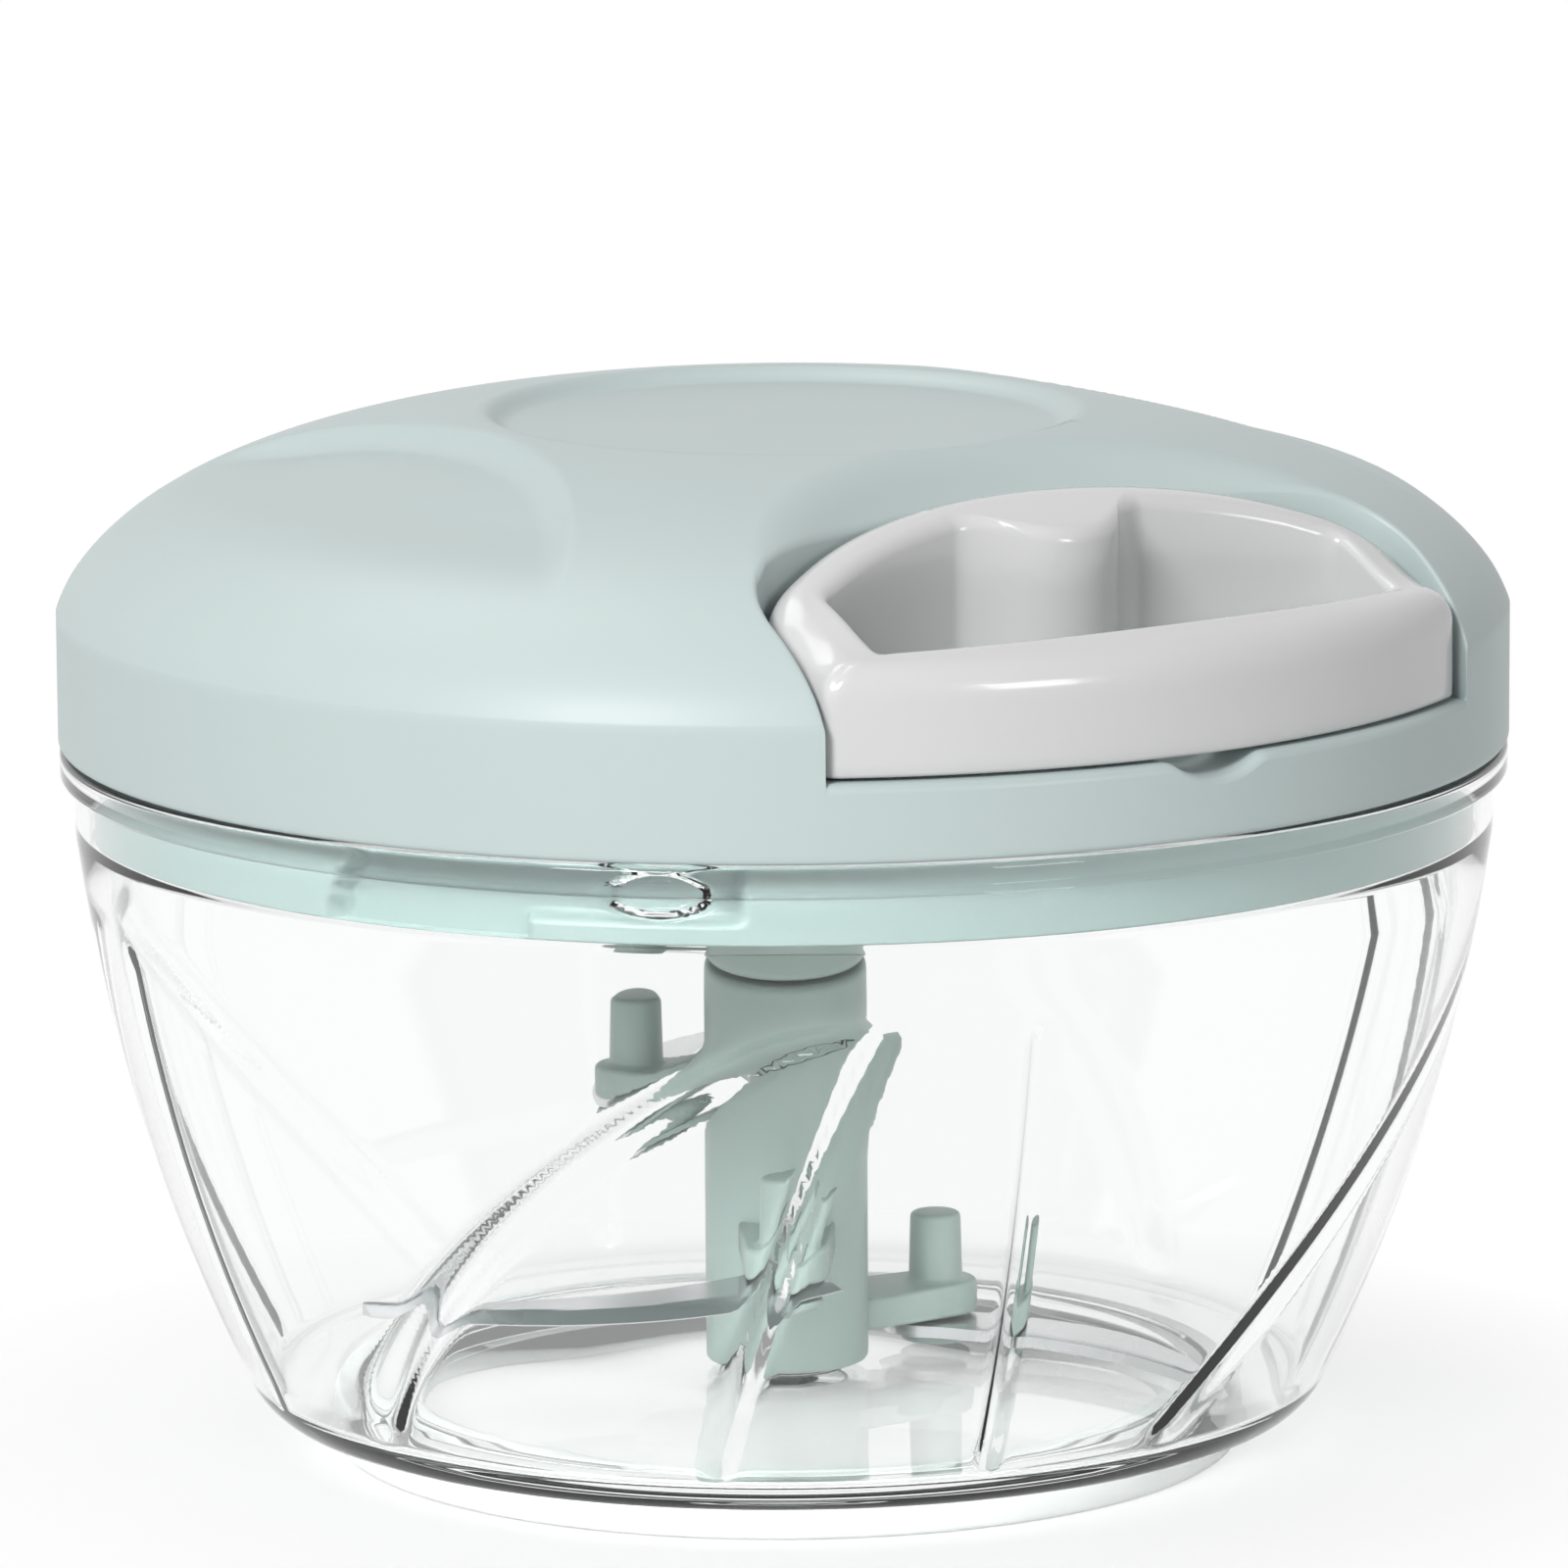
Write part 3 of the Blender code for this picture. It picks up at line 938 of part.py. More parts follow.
def make_cord_knot(finish):
    """The knot in the handle's boss."""
    work = bmesh.new()
    bmesh.ops.create_icosphere(work, subdivisions=2, radius=KNOT_RADIUS)
    knot = object_from("cord_knot", work)
    knot.data.transform(Matrix.Translation((0, -(HANDLE_INNER_REACH + KNOT_SETBACK), CORD_Z)))
    return dress(knot, finish)


def make_knot_plug(finish):
    """Plug that closes the knot cavity from below."""
    cavity_y = -(HANDLE_INNER_REACH + KNOT_SETBACK + KNOT_CAVITY_RADIUS - KNOT_RADIUS - REST_GAP)
    bottom = HANDLE_BOTTOM + REST_GAP
    return dress(cylinder("knot_plug", KNOT_CAVITY_RADIUS - REST_GAP, bottom, bottom + PLUG_THICKNESS,
                          SMALL_SEGMENT_COUNT, (0.0, cavity_y)), finish)


def make_pull_cord(finish):
    """The cord's free run, from the guide to the knot in the handle."""
    start = BAY_REACH - BAY_WALL
    end = HANDLE_INNER_REACH + KNOT_SETBACK - KNOT_RADIUS - REST_GAP
    return dress(cylinder_along_y("pull_cord", CORD_RADIUS, start, end, CORD_Z, PIN_SEGMENT_COUNT), finish)


def make_inner_cord(finish):
    """The cord between the drum and the guide: tangent to the winding, then bent into the guide."""
    wrap = WINDING_RADIUS + REST_GAP + CORD_RADIUS
    guide_y = BAY_REACH - BAY_WALL - GUIDE_FLANGE_THICKNESS - REST_GAP
    end_y = BAY_REACH - BAY_WALL - REST_GAP
    bend_y = (wrap + guide_y) / 2
    lean = math.acos(wrap / bend_y)
    tangent = Vector((-wrap * math.sin(lean), -wrap * math.cos(lean)))
    corner = Vector((0.0, -bend_y))
    finish_point = Vector((0.0, -end_y))
    points = [tangent]
    for i in range(1, CORD_BEND_COUNT):
        share = i / CORD_BEND_COUNT
        before = tangent.lerp(corner, share)
        after = corner.lerp(finish_point, share)
        points.append(before.lerp(after, share))
    points.append(finish_point)
    rings = []
    for i, point in enumerate(points):
        along = (points[min(i + 1, len(points) - 1)] - points[max(i - 1, 0)]).normalized()
        if i == len(points) - 1:
            along = Vector((0.0, -1.0))
        side = Vector((-along.y, along.x))
        rings.append([(point.x + side.x * a, point.y + side.y * a, CORD_Z + b)
                      for a, b in circle(CORD_RADIUS, PIN_SEGMENT_COUNT)])
    return dress(lofted("lid_cord", rings), finish)


def make_blade_holder(finish):
    """Tube with a square socket above, a spindle bore below, and three arms with pegs and stakes."""
    profile = [(0.0, HOLDER_BOTTOM), (TUBE_RADIUS, HOLDER_BOTTOM), (TUBE_RADIUS, HOLDER_TOP), (0.0, HOLDER_TOP)]
    holder = turned("blade_holder", profile, RING_SEGMENT_COUNT)
    for angle, height in zip(ARM_ANGLES, BLADE_HEIGHTS):
        low = height + BLADE_THICKNESS + REST_GAP
        high = low + ARM_THICKNESS
        end = arc((PEG_CIRCLE, 0.0), ARM_HALF_WIDTH, -math.pi / 2, math.pi / 2, 8)
        outline = end + [(TUBE_RADIUS / 2, ARM_HALF_WIDTH), (TUBE_RADIUS / 2, -ARM_HALF_WIDTH)]
        centre = (PEG_CIRCLE, 0.0)
        head = height - REST_GAP
        for piece in (prism("arm", outline, low, high),
                      cylinder("peg", PEG_RADIUS, high - MM, high + PEG_HEIGHT, SMALL_SEGMENT_COUNT, centre),
                      cylinder("stake", STAKE_RADIUS, head - STAKE_HEAD_THICKNESS / 2, low + MM,
                               PIN_SEGMENT_COUNT, centre),
                      cylinder("stake_head", STAKE_HEAD_RADIUS, head - STAKE_HEAD_THICKNESS, head,
                               SMALL_SEGMENT_COUNT, centre)):
            add(holder, turn(piece, angle))
    cut(holder, prism("socket", square(SOCKET_SQUARE), HOLDER_TOP - SOCKET_DEPTH, HOLDER_TOP + MM),
        cylinder("spindle_bore", SPINDLE_RADIUS + RUNNING_GAP, HOLDER_BOTTOM - MM, SPINDLE_TOP + MM,
                 SMALL_SEGMENT_COUNT))
    return dress(holder, finish)


def make_blade(name, angle, height, finish):
    """Crescent blade: it starts round its stake and sweeps back to a trailing tip."""
    centre = (PEG_CIRCLE, 0.0)
    root = arc(centre, BLADE_ROOT_RADIUS, BLADE_ROOT_START, BLADE_ROOT_END, 8)
    tip = Vector(on_circle(BLADE_TIP_RADIUS, -BLADE_SWEEP))
    aside = Vector((-tip.y, tip.x)).normalized() * BLADE_TIP_WIDTH
    outer = bulged(root[-1], tip + aside, -BLADE_OUTER_BULGE, 12)
    inner = bulged(tip - aside, root[0], BLADE_INNER_BULGE, 10)
    outline = root + outer[1:] + inner[:-1]
    blade = prism(name, outline, height, height + BLADE_THICKNESS)
    cut(blade, cylinder("stake_hole", STAKE_RADIUS + REST_GAP, height - MM, height + BLADE_THICKNESS + MM,
                        PIN_SEGMENT_COUNT, centre))
    return dress(turn(blade, angle), finish)


def group(name, location, pieces):
    """Parent pieces to an empty that stands on their joint's axis."""
    empty = bpy.data.objects.new(name, None)
    empty.location = location
    bpy.context.scene.collection.objects.link(empty)
    bpy.context.view_layer.update()
    for piece in pieces:
        piece.parent = empty
        piece.matrix_parent_inverse = empty.matrix_world.inverted()


def main():
    """Build every piece and group the pieces that move together."""
    for obj in list(bpy.data.objects):
        bpy.data.objects.remove(obj)

    mint = material("mint_plastic", (0.55, 0.68, 0.64), 0.45)
    dark_mint = material("holder_plastic", (0.42, 0.55, 0.50), 0.4)
    grey = material("handle_plastic", (0.74, 0.74, 0.75), 0.3)
    clear = material("clear_plastic", (0.93, 0.95, 0.95), 0.05, transmission=0.9)
    silicone = material("silicone", (0.88, 0.89, 0.89), 0.6)
    steel = material("blade_steel", (0.62, 0.62, 0.64), 0.25, metallic=1.0)
    spring_steel = material("spring_steel", (0.35, 0.37, 0.42), 0.3, metallic=1.0)
    screw_steel = material("screw_steel", (0.6, 0.6, 0.6), 0.3, metallic=1.0)
    acetal = material("white_acetal", (0.85, 0.85, 0.82), 0.35)
    cord = material("cord", (0.85, 0.85, 0.83), 0.8)

    bowl = make_bowl(clear)
    add_ribs(bowl)
    dress(bowl, clear)
    make_foot_ring(silicone)
    group("lid_lift_frame", (0, 0, BOWL_HEIGHT), [make_seal_ring(silicone)])

    lid = [make_lid_cover(mint), make_lid_base(mint), make_shaft_bush(acetal), make_shaft_seal(silicone),
           make_power_spring(spring_steel), make_spring_cover(acetal), make_cord_guide(acetal),
           make_inner_cord(cord), make_pull_cord(cord)]
    group("lid_twist_axis", (0, 0, LID_EDGE_Z), lid + make_screws(screw_steel))
    group("handle_slide", (0, -HANDLE_INNER_REACH, CORD_Z),
          [make_pull_handle(grey), make_cord_knot(cord), make_knot_plug(grey)])
    group("drum_axis", (0, 0, CORD_Z), [make_cord_drum(acetal), make_wound_cord(cord)])
    for number, angle in ((1, 0.0), (2, math.pi)):
        make_pawl(number, angle, acetal)

    clutch_screw = screw("clutch_screw", (0.0, 0.0), CLUTCH_SCREW_HEAD_RADIUS, CAP_TOP + REST_GAP,
                         CLUTCH_SCREW_HEAD_HEIGHT, CAP_TOP - CLUTCH_SCREW_LENGTH, screw_steel)
    group("drive_axis", (0, 0, SHAFT_END_Z),
          [make_drive_shaft(dark_mint), make_ratchet_wheel(acetal), make_clutch_cap(acetal), clutch_screw])
    blades = [make_blade(name, angle, height, steel)
              for name, angle, height in zip(("blade_lower", "blade_middle", "blade_upper"),
                                             ARM_ANGLES, BLADE_HEIGHTS)]
    group("blade_axis", (0, 0, HOLDER_BOTTOM), [make_blade_holder(dark_mint)] + blades)


main()
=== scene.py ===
"""Looks of a hand-pulled vegetable chopper: clear bowl, domed mint lid, pull handle and blade set.

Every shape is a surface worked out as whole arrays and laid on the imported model. Shapes are
worked out in millimetres, and make_object turns them into metres. The lid's axis is Z, the
handle is pulled towards -Y, and the floor is at Z = 0.
"""

import logging
import math
from dataclasses import dataclass, replace
from enum import Enum
from typing import Callable, Dict, List, Optional, Sequence, Tuple

import bmesh
import bpy
import numpy as np
from mathutils import Matrix, Vector


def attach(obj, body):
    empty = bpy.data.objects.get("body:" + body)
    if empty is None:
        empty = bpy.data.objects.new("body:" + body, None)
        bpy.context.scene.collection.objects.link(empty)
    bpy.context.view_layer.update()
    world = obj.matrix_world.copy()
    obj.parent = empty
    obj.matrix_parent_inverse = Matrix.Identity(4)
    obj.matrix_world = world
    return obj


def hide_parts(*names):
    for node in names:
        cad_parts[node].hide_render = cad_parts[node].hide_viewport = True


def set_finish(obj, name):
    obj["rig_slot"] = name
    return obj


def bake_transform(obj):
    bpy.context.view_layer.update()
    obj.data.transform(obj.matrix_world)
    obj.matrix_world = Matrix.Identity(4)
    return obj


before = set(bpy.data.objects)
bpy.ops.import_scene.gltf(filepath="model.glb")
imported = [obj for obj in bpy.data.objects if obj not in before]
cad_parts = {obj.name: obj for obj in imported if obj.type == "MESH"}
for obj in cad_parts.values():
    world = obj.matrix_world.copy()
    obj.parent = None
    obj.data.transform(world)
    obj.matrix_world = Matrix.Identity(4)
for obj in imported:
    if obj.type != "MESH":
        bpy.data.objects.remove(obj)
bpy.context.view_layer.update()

LOG = logging.getLogger("chopper")
Array = np.ndarray
Object = bpy.types.Object
Shift = Callable[[Array, Array, Array], Tuple[Array, Array]]
Corners = Sequence[Tuple[float, float, float]]
MM = 0.001
DEGREE = math.pi / 180.0
QUARTER = math.pi / 2
TURN = 2.0 * math.pi
MERGE = 1e-7  # metres within which two points of a turned section are one
FINE_MERGE = 2e-6  # the same for the blades and the lid, whose grids meet edge to edge
LUG_ANGLES = (225.0 * DEGREE, 345.0 * DEGREE, 105.0 * DEGREE)
LUG_HALF_LENGTH = 4.65
COLLAR_INNER = 61.8


class Slot(Enum):
    """The record's material slots that the pieces take their finish from."""

    MINT = "mint_plastic"
    HOLDER = "holder_plastic"
    HANDLE = "handle_plastic"
    CLEAR = "clear_plastic"
    SILICONE = "silicone"
    BLADE = "blade_steel"
    SCREW = "screw_steel"
    ACETAL = "white_acetal"
    CORD = "cord"


def smooth_step(value: Array, low: float, high: float) -> Array:
    """Return 0 below low, 1 above high, and a share of 3s^2 - 2s^3 between them."""
    share = np.clip((np.asarray(value, float) - low) / (high - low), 0.0, 1.0)
    return share * share * (3.0 - 2.0 * share)


def smooth_min(first: Array, second: Array, blend: float) -> Array:
    """Return the lesser of two distances, rounded where they cross.

    With h = max(blend - |a - b|, 0) / blend it is min(a, b) - h^2 * blend / 4.
    """
    near = np.maximum(blend - np.abs(first - second), 0.0) / blend
    return np.minimum(first, second) - near * near * blend * 0.25


def angle_gap(first: Array, second: float) -> Array:
    """Return the signed angle from second to first, between minus and plus half a turn."""
    return (np.asarray(first) - second + math.pi) % TURN - math.pi


def root(value: Array) -> Array:
    """Return the square root of a number, or 0 where it is negative."""
    return np.sqrt(np.maximum(value, 0.0))


def wheel(count: int) -> Array:
    """Return evenly spaced angles round a full turn."""
    return np.arange(count) * TURN / count


def grid_faces(rows: int, columns: int, closed_rows: bool = False, closed_columns: bool = False) -> Array:
    """Return the quads of a grid of points stored row after row.

    Args:
        rows: number of rows.
        columns: number of points in a row.
        closed_rows: whether the last row joins the first.
        closed_columns: whether the last point of a row joins its first.

    Returns:
        An array of four point numbers for each quad.
    """
    row = np.arange(rows if closed_rows else rows - 1)[:, None]
    column = np.arange(columns if closed_columns else columns - 1)[None, :]
    next_row, next_column = (row + 1) % rows, (column + 1) % columns
    quads = [row * columns + column, row * columns + next_column,
             next_row * columns + next_column, next_row * columns + column]
    shape = (len(row), column.shape[1])
    return np.stack([np.broadcast_to(quad, shape) for quad in quads], axis=-1).reshape(-1, 4)


def rounded_profile(points: Corners, steps: int, closed: bool = True) -> Array:
    """Round each corner of a profile by its own radius.

    A corner's arc is drawn as the curve (1-t)^2 A + 2t(1-t) C + t^2 B between the points
    A and B that lie the radius away from the corner C, at most 0.49 of a side.

    Args:
        points: (radius, height, corner radius) of each corner.
        steps: number of parts in a rounded corner.
        closed: whether the last corner joins the first.

    Returns:
        The profile as rows of (radius, height).
    """
    smallest, same = 1e-6, 1e-5
    data = np.array(points, float)
    corner, size = data[:, :2], data[:, 2]
    back, ahead = np.roll(corner, 1, axis=0) - corner, np.roll(corner, -1, axis=0) - corner
    back_length = np.maximum(np.linalg.norm(back, axis=1), smallest)
    ahead_length = np.maximum(np.linalg.norm(ahead, axis=1), smallest)
    cut = np.minimum(size, 0.49 * np.minimum(back_length, ahead_length))
    if not closed:
        cut[0] = cut[-1] = 0.0
    start = corner + back * (cut / back_length)[:, None]
    end = corner + ahead * (cut / ahead_length)[:, None]
    share = np.linspace(0.0, 1.0, steps + 1)[None, :, None]
    curve = ((1 - share) ** 2 * start[:, None] + 2 * share * (1 - share) * corner[:, None]
             + share ** 2 * end[:, None]).reshape(-1, 2)
    apart = np.linalg.norm(np.diff(curve, axis=0), axis=1)
    return curve[np.concatenate([[True], apart > same])]


def spread(profile: Array, longest: float) -> Array:
    """Add points along a profile so that no part of it is longer than a limit.

    Args:
        profile: rows of (radius, height).
        longest: the longest part allowed.

    Returns:
        The denser profile, its corners kept.
    """
    length = np.linalg.norm(np.diff(profile, axis=0), axis=1)
    counts = np.maximum(np.ceil(length / longest).astype(int), 1)
    owner = np.repeat(np.arange(len(counts)), counts)
    inside = np.arange(len(owner)) - np.repeat(np.cumsum(counts) - counts, counts)
    share = (inside / counts[owner])[:, None]
    return np.vstack([profile[owner] * (1 - share) + profile[owner + 1] * share, profile[-1:]])


def bulged_line(start: Array, end: Array, bulge: float, share: Array) -> Array:
    """Return points of a bowed line: chord + normal * 4 b t (1 - t), normal being left of the chord.

    Args:
        start: where the line starts.
        end: where it ends.
        bulge: how far its middle stands off the chord.
        share: t for each point, as a column.

    Returns:
        Rows of two coordinates.
    """
    chord = end - start
    normal = np.array([-chord[1], chord[0]]) / np.linalg.norm(chord)
    return start + chord * share + normal * 4 * bulge * share * (1 - share)


def place_mesh(name: str, mesh: bpy.types.Mesh, slot: Slot) -> Object:
    """Shade a mesh smooth, put it into the scene as an object and name its slot.

    Args:
        name: the piece's name.
        mesh: its mesh.
        slot: its material slot.

    Returns:
        The new object.
    """
    mesh.polygons.foreach_set("use_smooth", np.ones(len(mesh.polygons), bool))
    obj = bpy.data.objects.new(name, mesh)
    bpy.context.scene.collection.objects.link(obj)
    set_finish(obj, slot.value)
    return obj


def make_object(name: str, points: Array, faces: List[Sequence[int]], slot: Slot,
                merge: float = 0.0) -> Object:
    """Put points and faces into a new object at the origin, its faces turned outwards.

    Args:
        name: the piece's name.
        points: x, y and z in millimetres, along the last axis.
        faces: point numbers of each face.
        slot: the material slot that the piece belongs to.
        merge: distance in metres within which points become one, 0 for none.

    Returns:
        The new object, smooth shaded.
    """
    mesh = bpy.data.meshes.new(name)
    mesh.from_pydata((np.asarray(points, float).reshape(-1, 3) * MM).tolist(), [], faces)
    work = bmesh.new()
    work.from_mesh(mesh)
    if merge:
        bmesh.ops.remove_doubles(work, verts=work.verts, dist=merge)
        bmesh.ops.dissolve_degenerate(work, edges=work.edges, dist=merge * 0.5)
    bmesh.ops.recalc_face_normals(work, faces=work.faces)
    work.to_mesh(mesh)
    work.free()
    return place_mesh(name, mesh, slot)


def revolve(name: str, corners: Array, slot: Slot, count: int, shift: Optional[Shift] = None,
            closed: bool = True) -> Object:
    """Turn a profile about the Z axis: x = r cos a, y = r sin a, with r and z shifted by a rule.

    Args:
        name: the piece's name.
        corners: the profile's rows of (radius, height), in order round the section.
        slot: the material slot.
        count: number of columns round the axis.
        shift: takes radius, height and angle arrays and returns new radius and height.
        closed: whether the profile is a closed loop.

    Returns:
        The closed object.
    """
    radius, height = (np.repeat(corners[:, k:k + 1], count, axis=1) for k in (0, 1))
    angle = np.broadcast_to(wheel(count), radius.shape)
    if shift is not None:
        radius, height = shift(radius, height, angle)
    points = np.stack([radius * np.cos(angle), radius * np.sin(angle), height], axis=-1)
    faces = grid_faces(len(corners), count, closed_rows=closed, closed_columns=True)
    return make_object(name, points, faces.tolist(), slot, merge=MERGE)


def move_points(obj: Object, rule: Callable[[Array], Array]) -> Object:
    """Pass all of a mesh's points, in millimetres, through a rule as one array.

    Args:
        obj: the object to change.
        rule: takes rows of x, y and z and returns the new ones.

    Returns:
        The same object.
    """
    points = np.empty(len(obj.data.vertices) * 3)
    obj.data.vertices.foreach_get("co", points)
    obj.data.vertices.foreach_set("co", (rule(points.reshape(-1, 3) / MM) * MM).reshape(-1))
    obj.data.update()
    return obj


def turn_points(points: Array, angle: float) -> Array:
    """Turn points about the Z axis by an angle."""
    cosine, sine = math.cos(angle), math.sin(angle)
    return points @ np.array([[cosine, sine, 0.0], [-sine, cosine, 0.0], [0.0, 0.0, 1.0]])


def joined(name: str, parts: Sequence[Object]) -> Object:
    """Make one object of several, each a closed shell of its own.

    Args:
        name: the new piece's name.
        parts: the objects to join; their own objects are removed.

    Returns:
        The joined object, with the first part's slot.
    """
    work = bmesh.new()
    for part in parts:
        work.from_mesh(part.data)
    mesh = bpy.data.meshes.new(name)
    work.to_mesh(mesh)
    work.free()
    slot = Slot(parts[0]["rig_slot"])
    for part in parts:
        bpy.data.objects.remove(part)
    return place_mesh(name, mesh, slot)


def move_in(outline: Array, distance: float) -> Array:
    """Move a closed counterclockwise outline inwards along the mean normal of its sides.

    Args:
        outline: rows of (x, y).
        distance: how far each side moves.

    Returns:
        The moved outline.
    """
    ahead = np.roll(outline, -1, axis=0) - outline
    ahead = ahead / np.linalg.norm(ahead, axis=1, keepdims=True)
    both = ahead + np.roll(ahead, 1, axis=0)
    unit = np.column_stack([-both[:, 1], both[:, 0]]) / np.linalg.norm(both, axis=1, keepdims=True)
    side = np.column_stack([-ahead[:, 1], ahead[:, 0]])
    share = np.maximum(np.sum(unit * side, axis=1, keepdims=True), 0.5)
    return outline + unit * distance / share


def flat_solid(name: str, outline: Array, bottom: float, top: float, slot: Slot, rounding: float) -> Object:
    """Raise a plan into a solid whose edges are rounded over.

    The section is a loop of rings: at turn a, a ring is moved in by r (1 - sin a) and away from
    its face by r (1 - cos a), at the bottom and again at the top. A flat face closes each end.

    Args:
        name: the piece's name.
        outline: rows of (x, y), counterclockwise.
        bottom: lower height.
        top: upper height.
        slot: the material slot.
        rounding: radius of the rounded edges.

    Returns:
        The closed solid.
    """
    turns, count = np.linspace(0.0, QUARTER, 5), len(outline)
    insets, lifts = rounding * (1 - np.sin(turns)), rounding * (1 - np.cos(turns))
    heights = np.concatenate([bottom + lifts, (top - lifts)[::-1]])
    rings = [np.column_stack([move_in(outline, inset), np.full(count, height)])
             for inset, height in zip(np.concatenate([insets, insets[::-1]]), heights)]
    faces = grid_faces(len(rings), count, closed_columns=True).tolist()
    last = len(rings) * count
    faces += [list(range(count))[::-1], list(range(last - count, last))]
    return make_object(name, np.vstack(rings), faces, slot)


class Graph:
    """Adds nodes to a shader tree, and joins or sets their inputs as it goes."""

    def __init__(self, tree: bpy.types.NodeTree) -> None:
        """Keep the tree's nodes and links."""
        self.nodes, self.links = tree.nodes, tree.links

    def feed(self, node: bpy.types.Node, inputs: Dict) -> None:
        """Join each named or numbered input to a socket, or give it a value.

        Args:
            node: the node whose inputs are set.
            inputs: a value or a socket for each, by name or number.
        """
        for key, value in inputs.items():
            if isinstance(value, bpy.types.NodeSocket):
                self.links.new(value, node.inputs[key])
            else:
                node.inputs[key].default_value = value

    def add(self, kind: str, inputs: Optional[Dict] = None, **settings: object) -> bpy.types.NodeOutputs:
        """Add a node and return its outputs.

        Args:
            kind: the node's type, without the leading ShaderNode.
            inputs: a value or a socket for each input that is set, by name or number.
            settings: the node's own settings.

        Returns:
            The node's outputs.
        """
        node = self.nodes.new("ShaderNode" + kind)
        for name, value in settings.items():
            setattr(node, name, value)
        self.feed(node, inputs or {})
        return node.outputs


def new_material(name: str) -> Tuple[bpy.types.Material, Graph, bpy.types.Node]:
    """Make a material, and return it with its graph and its main shader.

    Args:
        name: the material's name.

    Returns:
        The material, its graph and its Principled BSDF.
    """
    made = bpy.data.materials.new(name)
    made.use_nodes = True
    return made, Graph(made.node_tree), made.node_tree.nodes["Principled BSDF"]


def grain_group() -> bpy.types.NodeTree:
    """Build the moulded grain that every plastic and metal finish shares, once.

    Fine noise makes the surface's height. Wide noise, less its mean of a half, shifts the shade
    and the roughness by a few hundredths.

    Returns:
        The node group, with a colour, a roughness and a normal as outputs.
    """
    found = bpy.data.node_groups.get("moulded_grain")
    if found:
        return found
    group = bpy.data.node_groups.new("moulded_grain", "ShaderNodeTree")
    for way, sockets in (("INPUT", "Colour:Color Scale:Float Bump:Float Depth:Float Shade:Float "
                                   "Roughness:Float Stretch:Vector"),
                         ("OUTPUT", "Colour:Color Roughness:Float Normal:Vector")):
        for name, kind in (entry.split(":") for entry in sockets.split()):
            group.interface.new_socket(name, in_out=way, socket_type="NodeSocket" + kind)
    graph, leave = Graph(group), group.nodes.new("NodeGroupOutput")
    entry = group.nodes.new("NodeGroupInput").outputs
    place = graph.add("TexCoord")["Object"]
    stretched = graph.add("Mapping", {"Vector": place, "Scale": entry["Stretch"]})[0]
    fine = graph.add("TexNoise", {"Vector": stretched, "Scale": entry["Scale"], "Detail": 2.0})["Fac"]
    wide = graph.add("TexNoise", {"Vector": place, "Scale": 45.0, "Detail": 3.0})["Fac"]
    centred = graph.add("Math", {0: wide, 1: 0.5}, operation="SUBTRACT")[0]
    shade = graph.add("Math", {0: centred, 1: entry["Shade"], 2: 1.0}, operation="MULTIPLY_ADD")[0]
    rough = graph.add("Math", {0: centred, 1: 0.12, 2: entry["Roughness"]}, operation="MULTIPLY_ADD")[0]
    bump = {"Strength": entry["Bump"], "Distance": entry["Depth"], "Height": fine}
    graph.feed(leave, {
        "Colour": graph.add("VectorMath", {0: entry["Colour"], "Scale": shade}, operation="SCALE")[0],
        "Roughness": rough, "Normal": graph.add("Bump", bump)["Normal"]})
    return group


@dataclass(frozen=True)
class Finish:
    """A moulded, cast or drawn finish: one colour with grain in its height, shade and gloss."""

    name: str
    colour: Tuple[float, float, float]
    roughness: float
    metallic: float = 0.0
    scale: float = 900.0
    bump: float = 0.15
    depth: float = 0.00002
    shade: float = 0.05
    stretch: Tuple[float, float, float] = (1.0, 1.0, 1.0)
    coat: float = 0.0
    coat_roughness: float = 0.1
    subsurface: float = 0.0
    anisotropic: float = 0.0
    specular: float = 0.5

    def material(self) -> bpy.types.Material:
        """Return the finish's material, made once.

        Returns:
            The material.
        """
        found = bpy.data.materials.get(self.name)
        if found:
            return found
        made, graph, shader = new_material(self.name)
        grain = graph.add("Group", {
            "Colour": (*self.colour, 1.0), "Scale": self.scale, "Bump": self.bump, "Depth": self.depth,
            "Shade": self.shade, "Roughness": self.roughness, "Stretch": self.stretch},
            node_tree=grain_group())
        graph.feed(shader, {
            "Base Color": grain["Colour"], "Roughness": grain["Roughness"], "Normal": grain["Normal"],
            "Metallic": self.metallic, "Coat Weight": self.coat, "Coat Roughness": self.coat_roughness,
            "Anisotropic": self.anisotropic, "Specular IOR Level": self.specular,
            "Subsurface Weight": self.subsurface, "Subsurface Radius": (1.0, 1.0, 1.0),
            "Subsurface Scale": 1.5 * MM})
        return made

    def dress(self, *pieces: Object) -> None:
        """Give the finish to pieces, in place of any material that they have.

        Args:
            pieces: the objects to dress.
        """
        for piece in pieces:
            piece.data.materials.clear()
            piece.data.materials.append(self.material())


